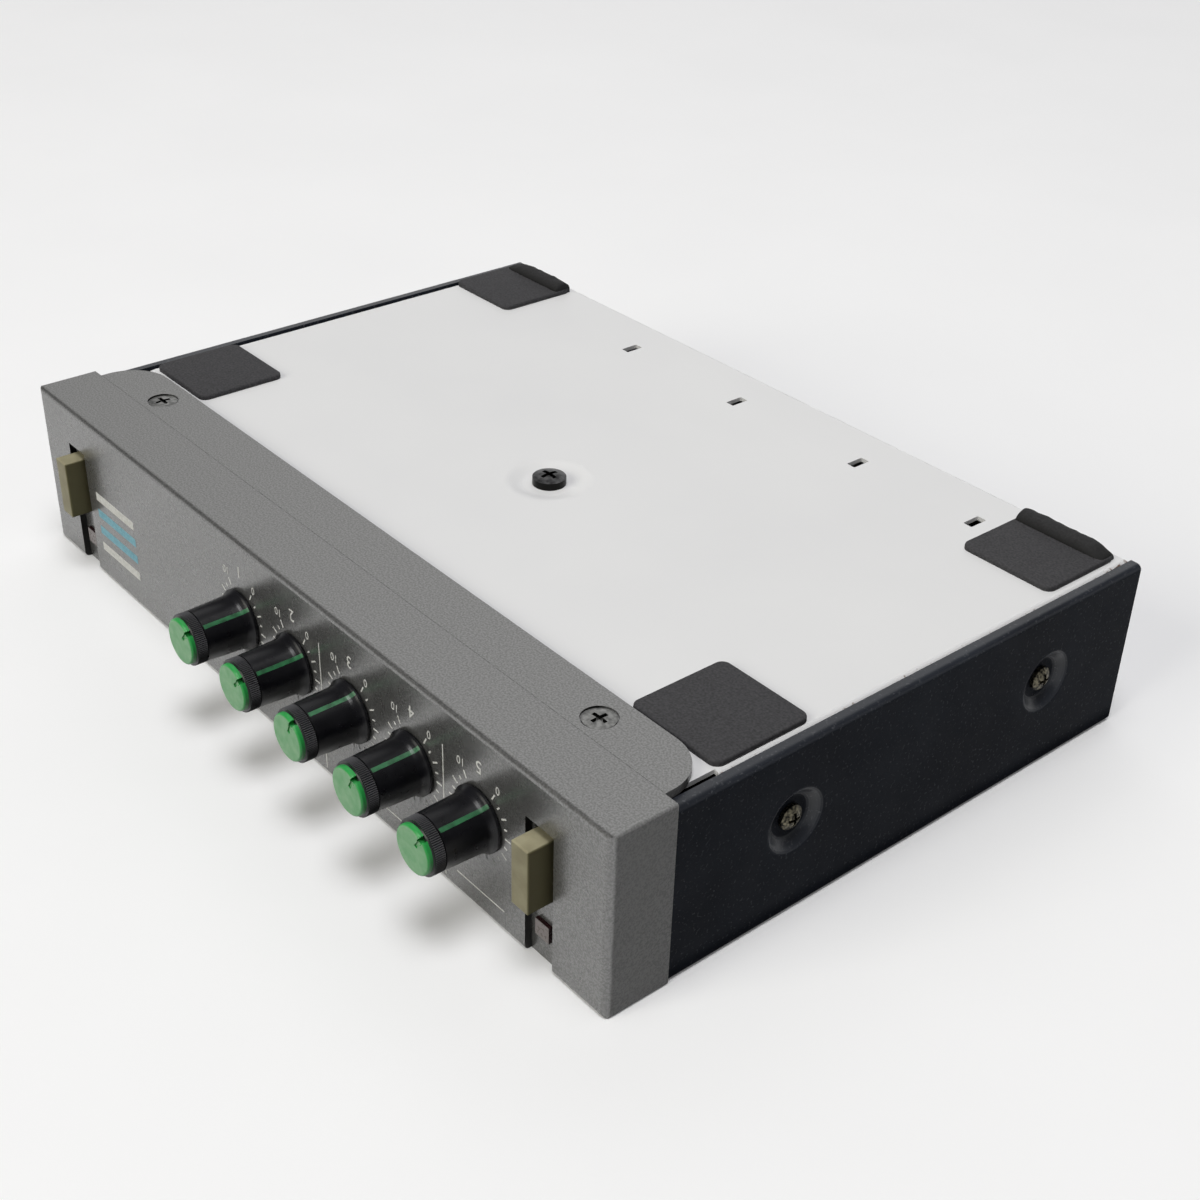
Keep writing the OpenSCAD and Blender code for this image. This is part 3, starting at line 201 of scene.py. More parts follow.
def pale_enamel(colours):
    """Steel sheet with a thin pale grey baked enamel: even and matt, with faint clouds and handling stains."""
    made, tree, shader, place = start_material("steel_sheet_pale_baked_enamel")
    shade_between(tree, shader, place, 40, colours.plate_dark, colours.plate_light, 0, 1, detail=3)
    # Brown specks of rust sit only along the sheet's side edges, and most of them at its rear corners.
    apart = add(tree, "ShaderNodeSeparateXYZ", {"Vector": place}).outputs
    out = add(tree, "ShaderNodeMath", {0: apart["X"]}, operation="ABSOLUTE").outputs[0]
    side = add(tree, "ShaderNodeMapRange", {"Value": out, "From Min": PLATE_HIGH.x - RUST_SIDE,
                                            "From Max": PLATE_HIGH.x}).outputs["Result"]
    rear = add(tree, "ShaderNodeMapRange", {"Value": apart["Y"], "From Min": PLATE_HIGH.y - RUST_REAR,
                                            "From Max": PLATE_HIGH.y, "To Min": 0.72}).outputs["Result"]
    top = add(tree, "ShaderNodeMath", {0: apart["Z"], 1: PLATE_HIGH.z - RUST_TOP},
              operation="GREATER_THAN").outputs[0]
    near = add(tree, "ShaderNodeMath", {0: side, 1: rear}, operation="MULTIPLY").outputs[0]
    edge = add(tree, "ShaderNodeMath", {0: near, 1: top}, operation="MULTIPLY").outputs[0]
    rust = add(tree, "ShaderNodeMapRange", {"Value": patches(tree, place, 1.1, high=edge), "From Min": 0.36,
                                            "From Max": 0.46}).outputs["Result"]
    lay_over(tree, shader, rust, colours.rust)
    # A few small stains lie on the open sheet.
    spots = add(tree, "ShaderNodeTexVoronoi", {"Vector": place, "Scale": per_metre(STAIN_PITCH)})
    stain = add(tree, "ShaderNodeMapRange", {"Value": spots.outputs["Distance"],
                                             "From Min": STAIN_OUTER / STAIN_PITCH,
                                             "From Max": STAIN_INNER / STAIN_PITCH}).outputs["Result"]
    lay_over(tree, shader, stain, colours.stain)
    roughen(tree, shader, place, 12, 0.5, 0.62)
    grain(tree, shader, place, 0.9, 0.008)
    return made


def black_enamel(colours):
    """Steel sheet with black baked enamel: its flat sides are scuffed to a matt with specks of dust, and its
    bends and pressed dishes keep their gloss."""
    made, tree, shader, place = start_material("steel_sheet_black_baked_enamel", IOR=1.5)
    shade_between(tree, shader, place, 25, colours.cover_dark, colours.cover_light)
    # Dust is finer than this, and its specks are drawn at 0.7 mm so that they show.
    lay_over(tree, shader, patches(tree, place, 0.7, 0.6, 0.72, detail=2), colours.cover_dust)
    height = add(tree, "ShaderNodeSeparateXYZ", {"Vector": place}).outputs["Z"]
    upper = add(tree, "ShaderNodeMapRange", {"Value": height, "From Min": GLOSS_START, "From Max": GLOSS_FULL,
                                             "To Min": 0.1}).outputs["Result"]
    gloss = add(tree, "ShaderNodeMath", {0: facing(tree, "X", 0.75, 0.99, 0.5, 0.035), 1: upper},
                operation="MULTIPLY")
    tree.links.new(gloss.outputs[0], shader.inputs["Specular IOR Level"])
    roughen(tree, shader, place, 9, facing(tree, "X", 0.75, 0.99, 0.3, 0.45),
            facing(tree, "X", 0.75, 0.99, 0.38, 0.6))
    grain(tree, shader, place, 1.1, 0.006)
    return made


def foamed_rubber(colours, pad_top):
    """Foamed rubber sheet, cut to shape: matt, with a fine open-cell grain. The ridge is painted darker than
    the pad, and darkest in its crease, where the dark is painted shade."""
    made, tree, shader, place = start_material("rubber_foamed_sheet", IOR=1.45)
    shade_between(tree, shader, place, 0.5, colours.rubber_dark, colours.rubber_light, 0.3, 0.75, detail=6)
    # Painted shade: the ridge is darkened towards near-black, fully at its crease and partly above it.
    height = add(tree, "ShaderNodeSeparateXYZ", {"Vector": place}).outputs["Z"]
    ridge = add(tree, "ShaderNodeMath", {0: height, 1: pad_top + PAD_SKIN}, operation="GREATER_THAN").outputs[0]
    crease = add(tree, "ShaderNodeMapRange", {"Value": height, "From Min": pad_top + CREASE_HEIGHT,
                                              "From Max": pad_top, "To Min": 0.6}).outputs["Result"]
    crease_shade = add(tree, "ShaderNodeMath", {0: ridge, 1: crease}, operation="MULTIPLY").outputs[0]
    lay_over(tree, shader, crease_shade, colours.rubber_crease)
    roughen(tree, shader, place, 3, 0.78, 0.92)
    grain(tree, shader, place, 0.4, 0.02, detail=5)
    return made


def black_abs(colours):
    """ABS, moulded and polished on its barrel: deep black with a soft gloss and fine handling marks. The tips
    of the knurled ring's teeth are grey, as rubbed wear and as a painted highlight."""
    made, tree, shader, place = start_material("abs_moulded_black", IOR=1.53, Specular_IOR_Level=0.3)
    shade_between(tree, shader, place, 5, colours.knob_dark, colours.knob_light)
    apart = add(tree, "ShaderNodeSeparateXYZ", {"Vector": place}).outputs
    # The knobs are alike, so the distance from a knob's axis is measured as if they all were the first one.
    first, pitch = KNOB_AXES[0], KNOB_AXES[1].x - KNOB_AXES[0].x
    along = add(tree, "ShaderNodeMath", {0: apart["X"], 1: first.x + pitch / 2, 2: first.x - pitch / 2},
                operation="WRAP").outputs[0]
    beside = add(tree, "ShaderNodeCombineXYZ", {"X": along, "Z": apart["Z"]}).outputs["Vector"]
    radius = add(tree, "ShaderNodeVectorMath", {0: beside, 1: (first.x, 0, first.z)},
                 operation="DISTANCE").outputs["Value"]
    # Painted highlight and wear: the outer tips of the knurled ring's teeth are laid over in grey.
    tip = add(tree, "ShaderNodeMapRange", {"Value": radius, "From Min": KNURL_TIP - TOOTH_WEAR_AND_HIGHLIGHT,
                                           "From Max": KNURL_TIP}).outputs["Result"]
    ring_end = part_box("knob_1")[0].y + KNURL_WIDTH
    ring = add(tree, "ShaderNodeMath", {0: apart["Y"], 1: ring_end}, operation="LESS_THAN").outputs[0]
    teeth = add(tree, "ShaderNodeMath", {0: ring, 1: tip}, operation="MULTIPLY").outputs[0]
    lay_over(tree, shader, teeth, colours.knob_teeth)
    roughen(tree, shader, place, 1.5, 0.24, 0.34)
    return made


def green_abs(colours):
    """ABS, moulded green: clear green at the rim, and paler in patches on the front face as a painted
    reflection.
    """
    made, tree, shader, place = start_material("abs_moulded_green", IOR=1.53)
    shader.inputs["Base Color"].default_value = srgb(colours.cap_rim)
    # Painted reflection: the front face is made paler in patches.
    lay_over(tree, shader, patches(tree, place, 2.5, high=facing(tree, "Y", 0.8, 1)), colours.cap_face)
    roughen(tree, shader, place, 1.2, 0.3, 0.42)
    return made


def green_inlay(colours):
    """ABS pointer inlay, moulded in a second shot: dull green with a slight gloss."""
    made, tree, shader, place = start_material("abs_second_shot_green", IOR=1.53)
    shade_between(tree, shader, place, 1.5, colours.line_dark, colours.line_light)
    roughen(tree, shader, place, 1, 0.3, 0.4)
    return made


def khaki_abs(colours):
    """ABS, moulded khaki with a fine spark-eroded grain: satin and yellowed, with its sides darkened as painted
    shade.
    """
    made, tree, shader, place = start_material("abs_moulded_khaki", IOR=1.53, Specular_IOR_Level=0.2)
    shade_between(tree, shader, place, 4, colours.button_dark, colours.button_light)
    # Painted shade: the sideways-facing sides of the buttons are darker.
    lay_over(tree, shader, facing(tree, "X", 0.5, 0.8), colours.button_side)
    roughen(tree, shader, place, 2, 0.42, 0.55)
    grain(tree, shader, place, 0.35, 0.01)
    return made


def red_acrylic(colours):
    """Acrylic lens, moulded dark red, with polished sides. Its front face is painted grey in patches as a
    painted reflection.
    """
    made, tree, shader, place = start_material("acrylic_moulded_dark_red", IOR=1.49)
    shader.inputs["Base Color"].default_value = srgb(colours.lens_side)
    # Painted reflection: the front face turns grey, fully in patches and partly between them.
    front_reflection = patches(tree, place, 0.6, low=facing(tree, "Y", 0.9, 0.95, 0, 0.6),
                    high=facing(tree, "Y", 0.9, 0.95), detail=3)
    lay_over(tree, shader, front_reflection, colours.lens_front)
    roughen(tree, shader, place, 0.8, 0.18, 0.4)
    return made


def screen_ink(name, dark, light):
    """Screen ink, printed and baked: flat colour with slightly starved patches where the mesh left less ink."""
    made, tree, shader, place = start_material(name, IOR=1.5)
    shade_between(tree, shader, place, 0.7, dark, light, 0.25, 0.6)
    roughen(tree, shader, place, 1, 0.5, 0.65)
    return made


def black_oxide_steel(colours):
    """Steel screw, headed and blackened: dark metal with a soft shine and paler rubbed patches."""
    made, tree, shader, place = start_material("steel_headed_black_oxide", Metallic=0.85)
    shade_between(tree, shader, place, 1.4, colours.black_steel_dark, colours.black_steel_light)
    # Painted shade: faces that don't face up, the head's sides and the cross recess, are darkened.
    lay_over(tree, shader, facing(tree, "Z", 0.4, 0.9, 1, 0), colours.screw_dirt)
    roughen(tree, shader, place, 0.9, 0.3, 0.48)
    return made


def grey_plated_steel(colours):
    """Steel screw, headed and grey-plated: dull grey metal that picks up the tone of the paint around it, with
    the walls of the cross recess darkened as painted shade."""
    made, tree, shader, place = start_material("steel_headed_grey_plate", Metallic=0.9)
    shade_between(tree, shader, place, 1.2, colours.grey_steel_dark, colours.grey_steel_light)
    # Painted shade: the walls of the cross recess are darkened.
    lay_over(tree, shader, facing(tree, "Z", 0.4, 0.9, 1, 0), colours.screw_dirt)
    roughen(tree, shader, place, 0.9, 0.3, 0.42)
    return made


def yellow_zinc_steel(colours):
    """Steel screw, headed and yellow-passivated: almost black with tarnish, with olive brass specks left."""
    made, tree, shader, place = start_material("steel_headed_yellow_zinc", Metallic=0.9)
    shade_between(tree, shader, place, 0.6, colours.zinc_dark, colours.zinc_light, 0.4, 0.68)
    roughen(tree, shader, place, 0.8, 0.32, 0.5)
    return made


def nickel_plate():
    """Steel or brass, turned and nickel-plated: bright warm grey with faint turning marks."""
    made, tree, shader, place = start_material("steel_turned_nickel_plate", Metallic=1.0)
    shade_between(tree, shader, place, 3, "#b3afa6", "#cbc8c0")
    roughen(tree, shader, place, 0.5, 0.2, 0.34, stretch=(1, 6, 1))
    return made


def turned_brass():
    """Brass, turned: yellow metal with fine rings that blur its shine."""
    made, tree, shader, place = start_material("brass_turned", Metallic=1.0)
    shade_between(tree, shader, place, 2, "#b08d46", "#c9a860")
    roughen(tree, shader, place, 0.4, 0.24, 0.38, stretch=(1, 6, 1))
    return made


def paper_laminate():
    """Phenolic paper laminate, sawn and varnished: brown board with a faint fibre cloud."""
    made, tree, shader, place = start_material("phenolic_paper_laminate", IOR=1.55)
    shade_between(tree, shader, place, 2.5, "#8a6a3a", "#9c7b47", detail=6)
    roughen(tree, shader, place, 4, 0.35, 0.5)
    return made


def black_phenolic():
    """Phenolic resin, moulded: matt black with a slightly grey skin."""
    made, tree, shader, place = start_material("phenolic_moulded_black", IOR=1.55)
    shade_between(tree, shader, place, 2, "#161617", "#222223")
    roughen(tree, shader, place, 1.5, 0.45, 0.6)
    grain(tree, shader, place, 0.4, 0.008)
    return made


def white_nylon():
    """Nylon, moulded: milky off-white with a waxy gloss."""
    made, tree, shader, place = start_material("nylon_moulded_white", IOR=1.53, Subsurface_Weight=0.1,
                                               Subsurface_Scale=MM)
    shade_between(tree, shader, place, 3, "#d5d3c8", "#e2e0d6")
    roughen(tree, shader, place, 2, 0.35, 0.45)
    return made


def vinyl(name, dark, light, pitch_mm):
    """PVC, extruded or shrunk on: even colour, soft gloss and fine draw lines."""
    made, tree, shader, place = start_material(name, IOR=1.54)
    shade_between(tree, shader, place, pitch_mm, dark, light)
    roughen(tree, shader, place, 2, 0.35, 0.48, stretch=(6, 1, 1))
    return made


def extruded_aluminium():
    """Aluminium, extruded and left bare: pale metal with draw lines along its height."""
    made, tree, shader, place = start_material("aluminium_extruded_bare", Metallic=1.0)
    shade_between(tree, shader, place, 4, "#b4b5b8", "#c6c7ca")
    roughen(tree, shader, place, 0.6, 0.3, 0.45, stretch=(6, 6, 1))
    return made


def red_epoxy():
    """Epoxy lamp body, cast: clear dark red with a wet gloss."""
    made, tree, shader, place = start_material("epoxy_cast_red", IOR=1.52, Transmission_Weight=0.4)
    shade_between(tree, shader, place, 1, "#6e1418", "#8a1c20")
    roughen(tree, shader, place, 1, 0.1, 0.2)
    return made


def floor_paper(colours, backdrop):
    """Seamless background paper: matt and almost white, with the faintest clouds."""
    made, tree, shader, place = start_material("paper_seamless_white", IOR=1.4, Roughness=0.9)
    shade_between(tree, shader, place, 90, colours.floor_dark, colours.floor_light, 0, 1)
    # Away from the object the paper turns into the evenly pale backdrop, whatever light falls on it there.
    away = add(tree, "ShaderNodeVectorMath", {0: place}, operation="LENGTH").outputs["Value"]
    far = add(tree, "ShaderNodeMapRange", {"Value": away, "From Min": PAPER_NEAR, "From Max": PAPER_FAR},
              interpolation_type="SMOOTHSTEP").outputs["Result"]
    lay_over(tree, shader, far, "#000000")
    # The camera and mirrored rays see the pale paper. It throws less light back on to the sides.
    seen = seen_rays(tree)
    unseen = add(tree, "ShaderNodeMath", {0: 1.0, 1: seen}, operation="SUBTRACT").outputs[0]
    lay_over(tree, shader, unseen, colours.floor_bounce)
    fill = add(tree, "ShaderNodeMapRange", {"Value": far, "To Min": PAPER_LIFT, "To Max": backdrop})
    lift = add(tree, "ShaderNodeMath", {0: seen, 1: fill.outputs["Result"]}, operation="MULTIPLY")
    tree.links.new(lift.outputs[0], shader.inputs["Emission Strength"])
    return made


# Mesh helpers

def dress(names, finish):
    """Puts one finish on every material slot of these CAD nodes."""
    for name in names:
        for slot in NODES[name].material_slots:
            slot.material = finish


def keep_mesh(name, builder, finish, body):
    """Turns a bmesh into a piece of the object that rides on a body."""
    mesh = bpy.data.meshes.new(name)
    bmesh.ops.recalc_face_normals(builder, faces=builder.faces)
    builder.to_mesh(mesh)
    builder.free()
    mesh.materials.append(finish)
    piece = bpy.data.objects.new(name, mesh)
    bpy.context.scene.collection.objects.link(piece)
    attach(piece, body)
    return piece


def ink_bar(builder, start, end, width, lift):
    """A printed bar on the bezel's face between two (x, z) points."""
    along = Vector((end[0] - start[0], 0, end[1] - start[1]))
    middle = Vector(((start[0] + end[0]) / 2, BEZEL_LOW.y - lift / 2, (start[1] + end[1]) / 2))
    side = along.normalized()
    across = side.cross(Vector((0, 1, 0)))
    turn = Matrix((side * along.length, Vector((0, lift, 0)), across * width)).transposed().to_4x4()
    bmesh.ops.create_cube(builder, size=1, matrix=Matrix.Translation(middle) @ turn)


def rounded_square(low, high, radius, steps):
    """Corner points of a rectangle with round corners, counter-clockwise, as (x, y)."""
    points = []
    for corner, (x, y) in enumerate(((high.x, high.y), (low.x, high.y), (low.x, low.y), (high.x, low.y))):
        cx = x - math.copysign(radius, x - (low.x + high.x) / 2)
        cy = y - math.copysign(radius, y - (low.y + high.y) / 2)
        for step in range(steps + 1):
            turn = math.radians(90 * (corner + step / steps))
            points.append((cx + radius * math.cos(turn), cy + radius * math.sin(turn)))
    return points


def pad_mesh(builder, low, high, radius, soft, steps=8, soft_steps=3):
    """A flat pad with round corners and a softened top edge, as one closed skin."""
    levels = [(0, low.z)]
    for step in range(soft_steps + 1):
        turn = math.radians(90 * step / soft_steps)
        levels.append((soft * (1 - math.cos(turn)), high.z - soft * (1 - math.sin(turn))))
    rings = []
    for inset, z in levels:
        shift = Vector((inset, inset, 0))
        outline = rounded_square(low + shift, high - shift, radius - inset, steps)
        rings.append([builder.verts.new((x, y, z)) for x, y in outline])
    for lower, upper in zip(rings, rings[1:]):
        for i in range(len(lower)):
            j = (i + 1) % len(lower)
            builder.faces.new((lower[i], lower[j], upper[j], upper[i]))
    builder.faces.new(list(reversed(rings[0])))
    builder.faces.new(rings[-1])


def ridge_mesh(builder, low, high, outward, feet, around=24, along=60):
    """A lumpy ridge along the rear edge of a pad, worn down at its outer end, as one closed skin."""
    half, middle = (high.x - low.x) / 2, (low.x + high.x) / 2
    rings = []
    for i in range(along + 1):
        u = -1 + 2 * i / along
        reach = half * math.sin(u * math.pi / 2)
        swell = RIDGE_TIP + (1 - RIDGE_TIP) * max(1 - abs(u) ** RIDGE_SQUARE, RIDGE_LEAST) ** 0.5
        out = max(0.0, outward * reach / half - WEAR_START) / (1 - WEAR_START)
        height = (high.z - low.z) * swell * (1 - feet.taper * out * out)
        ring = []
        for j in range(around + 1):
            turn = math.pi * j / around
            y = high.y - feet.ridge / 2 * (1 - math.cos(turn) * swell)
            z = low.z + height * math.sin(turn) ** RIDGE_ROUND
            here = Vector((middle + reach, y, z))
            push = noise.noise(here / LUMP_LARGE) + SMALL_SHARE * noise.noise(here / LUMP_SMALL)
            ring.append(builder.verts.new((here.x, y, z + feet.lump * (push - LUMP_DROP) * math.sin(turn))))
        rings.append(ring)
    for left, right in zip(rings, rings[1:]):
        for j in range(around):
            builder.faces.new((left[j], left[j + 1], right[j + 1], right[j]))
        builder.faces.new((left[0], right[0], right[around], left[around]))
    builder.faces.new(rings[0])
    builder.faces.new(list(reversed(rings[-1])))


# Settings

def shade(name, description, default):
    """A setting for a colour, as sRGB hex."""
    return StringProperty(name=name, description=description, default=default)


def length(name, description, default_mm):
    """A setting for a length, whose default is given in millimetres."""
    return FloatProperty(name=name, description=description, default=default_mm * MM, unit="LENGTH")


class UnitColours(bpy.types.PropertyGroup):
    """Colours of the unit's finishes, as sRGB hex."""
    bezel_dark: shade("Bezel dark", "Darker flakes of the bezel's paint", "#787878")
    bezel_light: shade("Bezel light", "Lighter flakes of the bezel's paint", "#8f8f8f")
    # Painted shade: this near-black stands in for the shade inside the bezel's grooves.
    bezel_bare: shade("Bezel bare", "Bare moulding in the grooves", "#1b1b1a")
    plate_dark: shade("Plate dark", "Darker clouds of the bottom plate", "#dddddf")
    plate_light: shade("Plate light", "Lighter clouds of the bottom plate", "#e4e4e5")
    rust: shade("Rust", "Specks along the plate's edges", "#6b4a34")
    stain: shade("Stain", "Small stains on the plate", "#a39a8a")
    cover_dark: shade("Cover dark", "Darker clouds of the cover", "#1f2229")
    cover_light: shade("Cover light", "Lighter clouds of the cover", "#292d35")
    cover_dust: shade("Cover dust", "Specks of dust on the cover", "#494b50")
    rubber_dark: shade("Rubber dark", "Cells of the feet", "#2d2d2f")
    # Painted shade: this near-black darkens the ridges, most of all in their creases.
    rubber_crease: shade("Rubber crease", "Dirt at the foot of the ridges", "#0d0d0d")
    rubber_light: shade("Rubber light", "Rubbed skin of the feet", "#464548")
    knob_dark: shade("Knob dark", "Darker clouds of the knobs", "#0b0b0f")
    knob_light: shade("Knob light", "Lighter clouds of the knobs", "#131317")
    # Painted highlight and wear: grey on the tips of the knurled teeth.
    knob_teeth: shade("Knob teeth", "Rubbed teeth of the knobs' knurling", "#57575a")
    cap_rim: shade("Cap rim", "Rim of the knob caps", "#279a47")
    # Painted reflection: the pale colour of the caps' front faces.
    cap_face: shade("Cap face", "Dulled face of the knob caps", "#98c69b")
    line_dark: shade("Line dark", "Darker clouds of the pointer lines", "#1a5030")
    line_light: shade("Line light", "Lighter clouds of the pointer lines", "#2a7045")
    button_dark: shade("Button dark", "Darker clouds of the buttons", "#8f8970")
    button_light: shade("Button light", "Lighter clouds of the buttons", "#a09a80")
    # Painted shade: the darker colour of the buttons' sides.
    button_side: shade("Button side", "Grime on the buttons' sides", "#6a654a")
    lens_side: shade("Lens side", "Polished sides of the lenses", "#2a0a10")
    # Painted reflection: the grey of the lenses' front faces.
    lens_front: shade("Lens front", "Frosted front of the lenses", "#887f7f")
    black_steel_dark: shade("Black screw dark", "Blackened screw heads", "#2c2c2d")
    black_steel_light: shade("Black screw light", "Rubbed screw head", "#5c5c5d")
    grey_steel_dark: shade("Flange screw dark", "Dull flange screws", "#6a6a69")
    grey_steel_light: shade("Flange screw light", "Rubbed flange screws", "#9e9e9c")
    # Painted shade: the dark colour on the screw heads' walls and recesses.
    screw_dirt: shade("Screw dirt", "Dirt on the walls of the screw heads", "#181817")
    zinc_dark: shade("Side screw dark", "Tarnished side screws", "#1d1c19")
    zinc_light: shade("Side screw light", "Clean side screws", "#857f6c")
    white_dark: shade("White ink thin", "Starved white ink", "#d6d6d3")
    white_light: shade("White ink", "Full white ink", "#efefed")
    blue_dark: shade("Blue ink thin", "Starved pale blue ink", "#6fa9bd")
    blue_light: shade("Blue ink", "Full pale blue ink", "#8cc4d6")
    floor_dark: shade("Floor dark", "Darker clouds of the floor", "#ebebed")
    floor_light: shade("Floor light", "Lighter clouds of the floor", "#f2f2f4")
    floor_bounce: shade("Floor bounce", "Floor as the object's sides see it", "#404040")
    lamp_warm: shade("Front light", "Light of the soft lamp in front", "#fffdf2")
    lamp_white: shade("White light", "Light of the other lamps", "#ffffff")


class MarkSizes(bpy.types.PropertyGroup):
    """Sizes of the marks printed on the bezel."""
    ink: length("Ink", "Thickness of the ink", 0.03)
    tick_count: IntProperty(name="Ticks", description="Ticks of one scale", default=21)
    tick_first: FloatProperty(name="First tick", description="Angle of the first tick from +X towards +Z",
                              default=math.radians(60), subtype="ANGLE")
    tick_step: FloatProperty(name="Tick step", description="Angle between ticks", default=math.radians(15),
                             subtype="ANGLE")
    tick_inner: length("Tick start", "Radius at which ticks start", 7.8)
    tick_long: length("Long tick", "Radius at which long ticks end", 9.5)
    tick_short: length("Short tick", "Radius at which short ticks end", 8.7)
    tick_width: length("Tick width", "Width of a tick", 0.35)
    line_width: length("Line width", "Width of the dividing lines", 0.3)
    divider_low: length("Divider start", "Height at which dividing lines start", 1.6)
    divider_high: length("Divider end", "Height at which dividing lines end", 33)
    bracket_z: length("Bracket height", "Height of the group lines", 5)
    bracket_half: length("Bracket half", "Half length of a group line", 7.5)
    number_size: length("Number size", "Height of the control numbers", 3.0)
    number_z: length("Number height", "Height of the control numbers on the bezel", 34.6)
    limit_size: length("Limit size", "Height of the scale-end numbers", 1.9)
    limit_radius: length("Limit radius", "Distance of the scale-end numbers from the knob", 11.3)
    stripe_low: FloatVectorProperty(name="Stripe corner", description="Lower left corner of the stripes (x, z)",
                                    default=(-83 * MM, 6.6 * MM), size=2)
    stripe_size: FloatVectorProperty(name="Stripe size", description="Length and width of one stripe",
                                     default=(19 * MM, 2.2 * MM), size=2)
    stripe_pitch: length("Stripe pitch", "Distance between stripes", 4.6)


class FootSizes(bpy.types.PropertyGroup):
    """Sizes of the rubber feet that the CAD box doesn't give."""
    corner: length("Corner", "Corner radius of a foot", 2.1)
    soft: length("Soft edge", "Radius of a foot's top edge", 0.4)
    thickness: length("Thickness", "Thickness of a foot", 1.2)
    width: length("Width", "Width of a foot", 23.7)
    cut: length("Cut", "How much the left front foot is cut shorter", 1.2)
    overhang: length("Ridge overhang", "How far the ridge stands past a rear foot", 0.3)
    ridge: length("Ridge width", "Width of the rear ridge", 5.6)
    ridge_end: length("Ridge end", "Gap between the ridge and the foot's sides", 0.3)
    lump: length("Lumps", "Depth of the lumps in the ridge", 0.4)
    taper: FloatProperty(name="Taper", description="How much the ridge's outer end is worn down", default=0.45,
                         subtype="FACTOR")


class StageSizes(bpy.types.PropertyGroup):
    """Camera, lights and floor."""
    camera_place: FloatVectorProperty(name="Camera", description="Place of the camera",
                                      default=(276.23 * MM, -216.06 * MM, 228.87 * MM), subtype="TRANSLATION")
    camera_right: FloatVectorProperty(name="Camera right", description="Direction to the picture's right",
                                      default=(0.64069, 0.76738, 0.02548), subtype="DIRECTION")
    camera_up: FloatVectorProperty(name="Camera up", description="Direction to the picture's top",
                                   default=(-0.42205, 0.32426, 0.84660), subtype="DIRECTION")
    lens: FloatProperty(name="Lens", description="Focal length on a 36 mm frame", default=52.454)
    floor: FloatProperty(name="Floor", description="Width of the floor", default=40, unit="LENGTH")
    key_place: FloatVectorProperty(name="Key place", description="Place of the lamp overhead",
                                   default=(0.42, -0.3, 2.6), subtype="TRANSLATION")
    key_size: FloatProperty(name="Key size", description="Width of the lamp overhead",
                            default=1.2, unit="LENGTH")
    key_power: FloatProperty(name="Key power", description="Power of the lamp overhead",
                             default=40, unit="POWER")
    front_place: FloatVectorProperty(name="Front place", description="Place of the soft lamp in front",
                                     default=(-0.15, -2.6, 1.4), subtype="TRANSLATION")
    front_size: FloatProperty(name="Front size", description="Width of the lamp in front",
                              default=1.6, unit="LENGTH")
    front_power: FloatProperty(name="Front power", description="Power of the lamp in front",
                               default=43, unit="POWER")
    back_place: FloatVectorProperty(name="Back place", description="Place of the soft lamp behind",
                                    default=(-1.7, 2.0, 1.8), subtype="TRANSLATION")
    back_size: FloatProperty(name="Back size", description="Width of the lamp behind",
                             default=3.2, unit="LENGTH")
    back_power: FloatProperty(name="Back power", description="Power of the lamp behind",
                              default=23, unit="POWER")
    sky_low: FloatProperty(name="Low sky", description="Brightness of the room at eye level", default=0.01)
    sky_high: FloatProperty(name="High sky", description="Brightness of the room overhead", default=0.15)
    backdrop: FloatProperty(name="Backdrop", description="Brightness of the backdrop, where 1 is white",
                            default=0.83)


class UnitSettings(bpy.types.PropertyGroup):
    """All settings of the unit's looks."""
    colours: PointerProperty(type=UnitColours)
    marks: PointerProperty(type=MarkSizes)
    feet: PointerProperty(type=FootSizes)
    stage: PointerProperty(type=StageSizes)


# Operators

class UNIT_OT_bezel(bpy.types.Operator):
    """Paint the front bezel"""
    bl_idname = "unit.bezel"
    bl_label = "Front bezel"

    def execute(self, context):
        dress(["front_bezel"], grey_flake_paint(context.scene.unit_looks.colours))
        return {"FINISHED"}


class UNIT_OT_sheets(bpy.types.Operator):
    """Paint the bottom plate, the rear panel and the cover"""
    bl_idname = "unit.sheets"
    bl_label = "Sheet metal"

    def execute(self, context):
        colours = context.scene.unit_looks.colours
        dress(["chassis", "rear_panel"], pale_enamel(colours))
        dress(["top_cover"], black_enamel(colours))
        return {"FINISHED"}


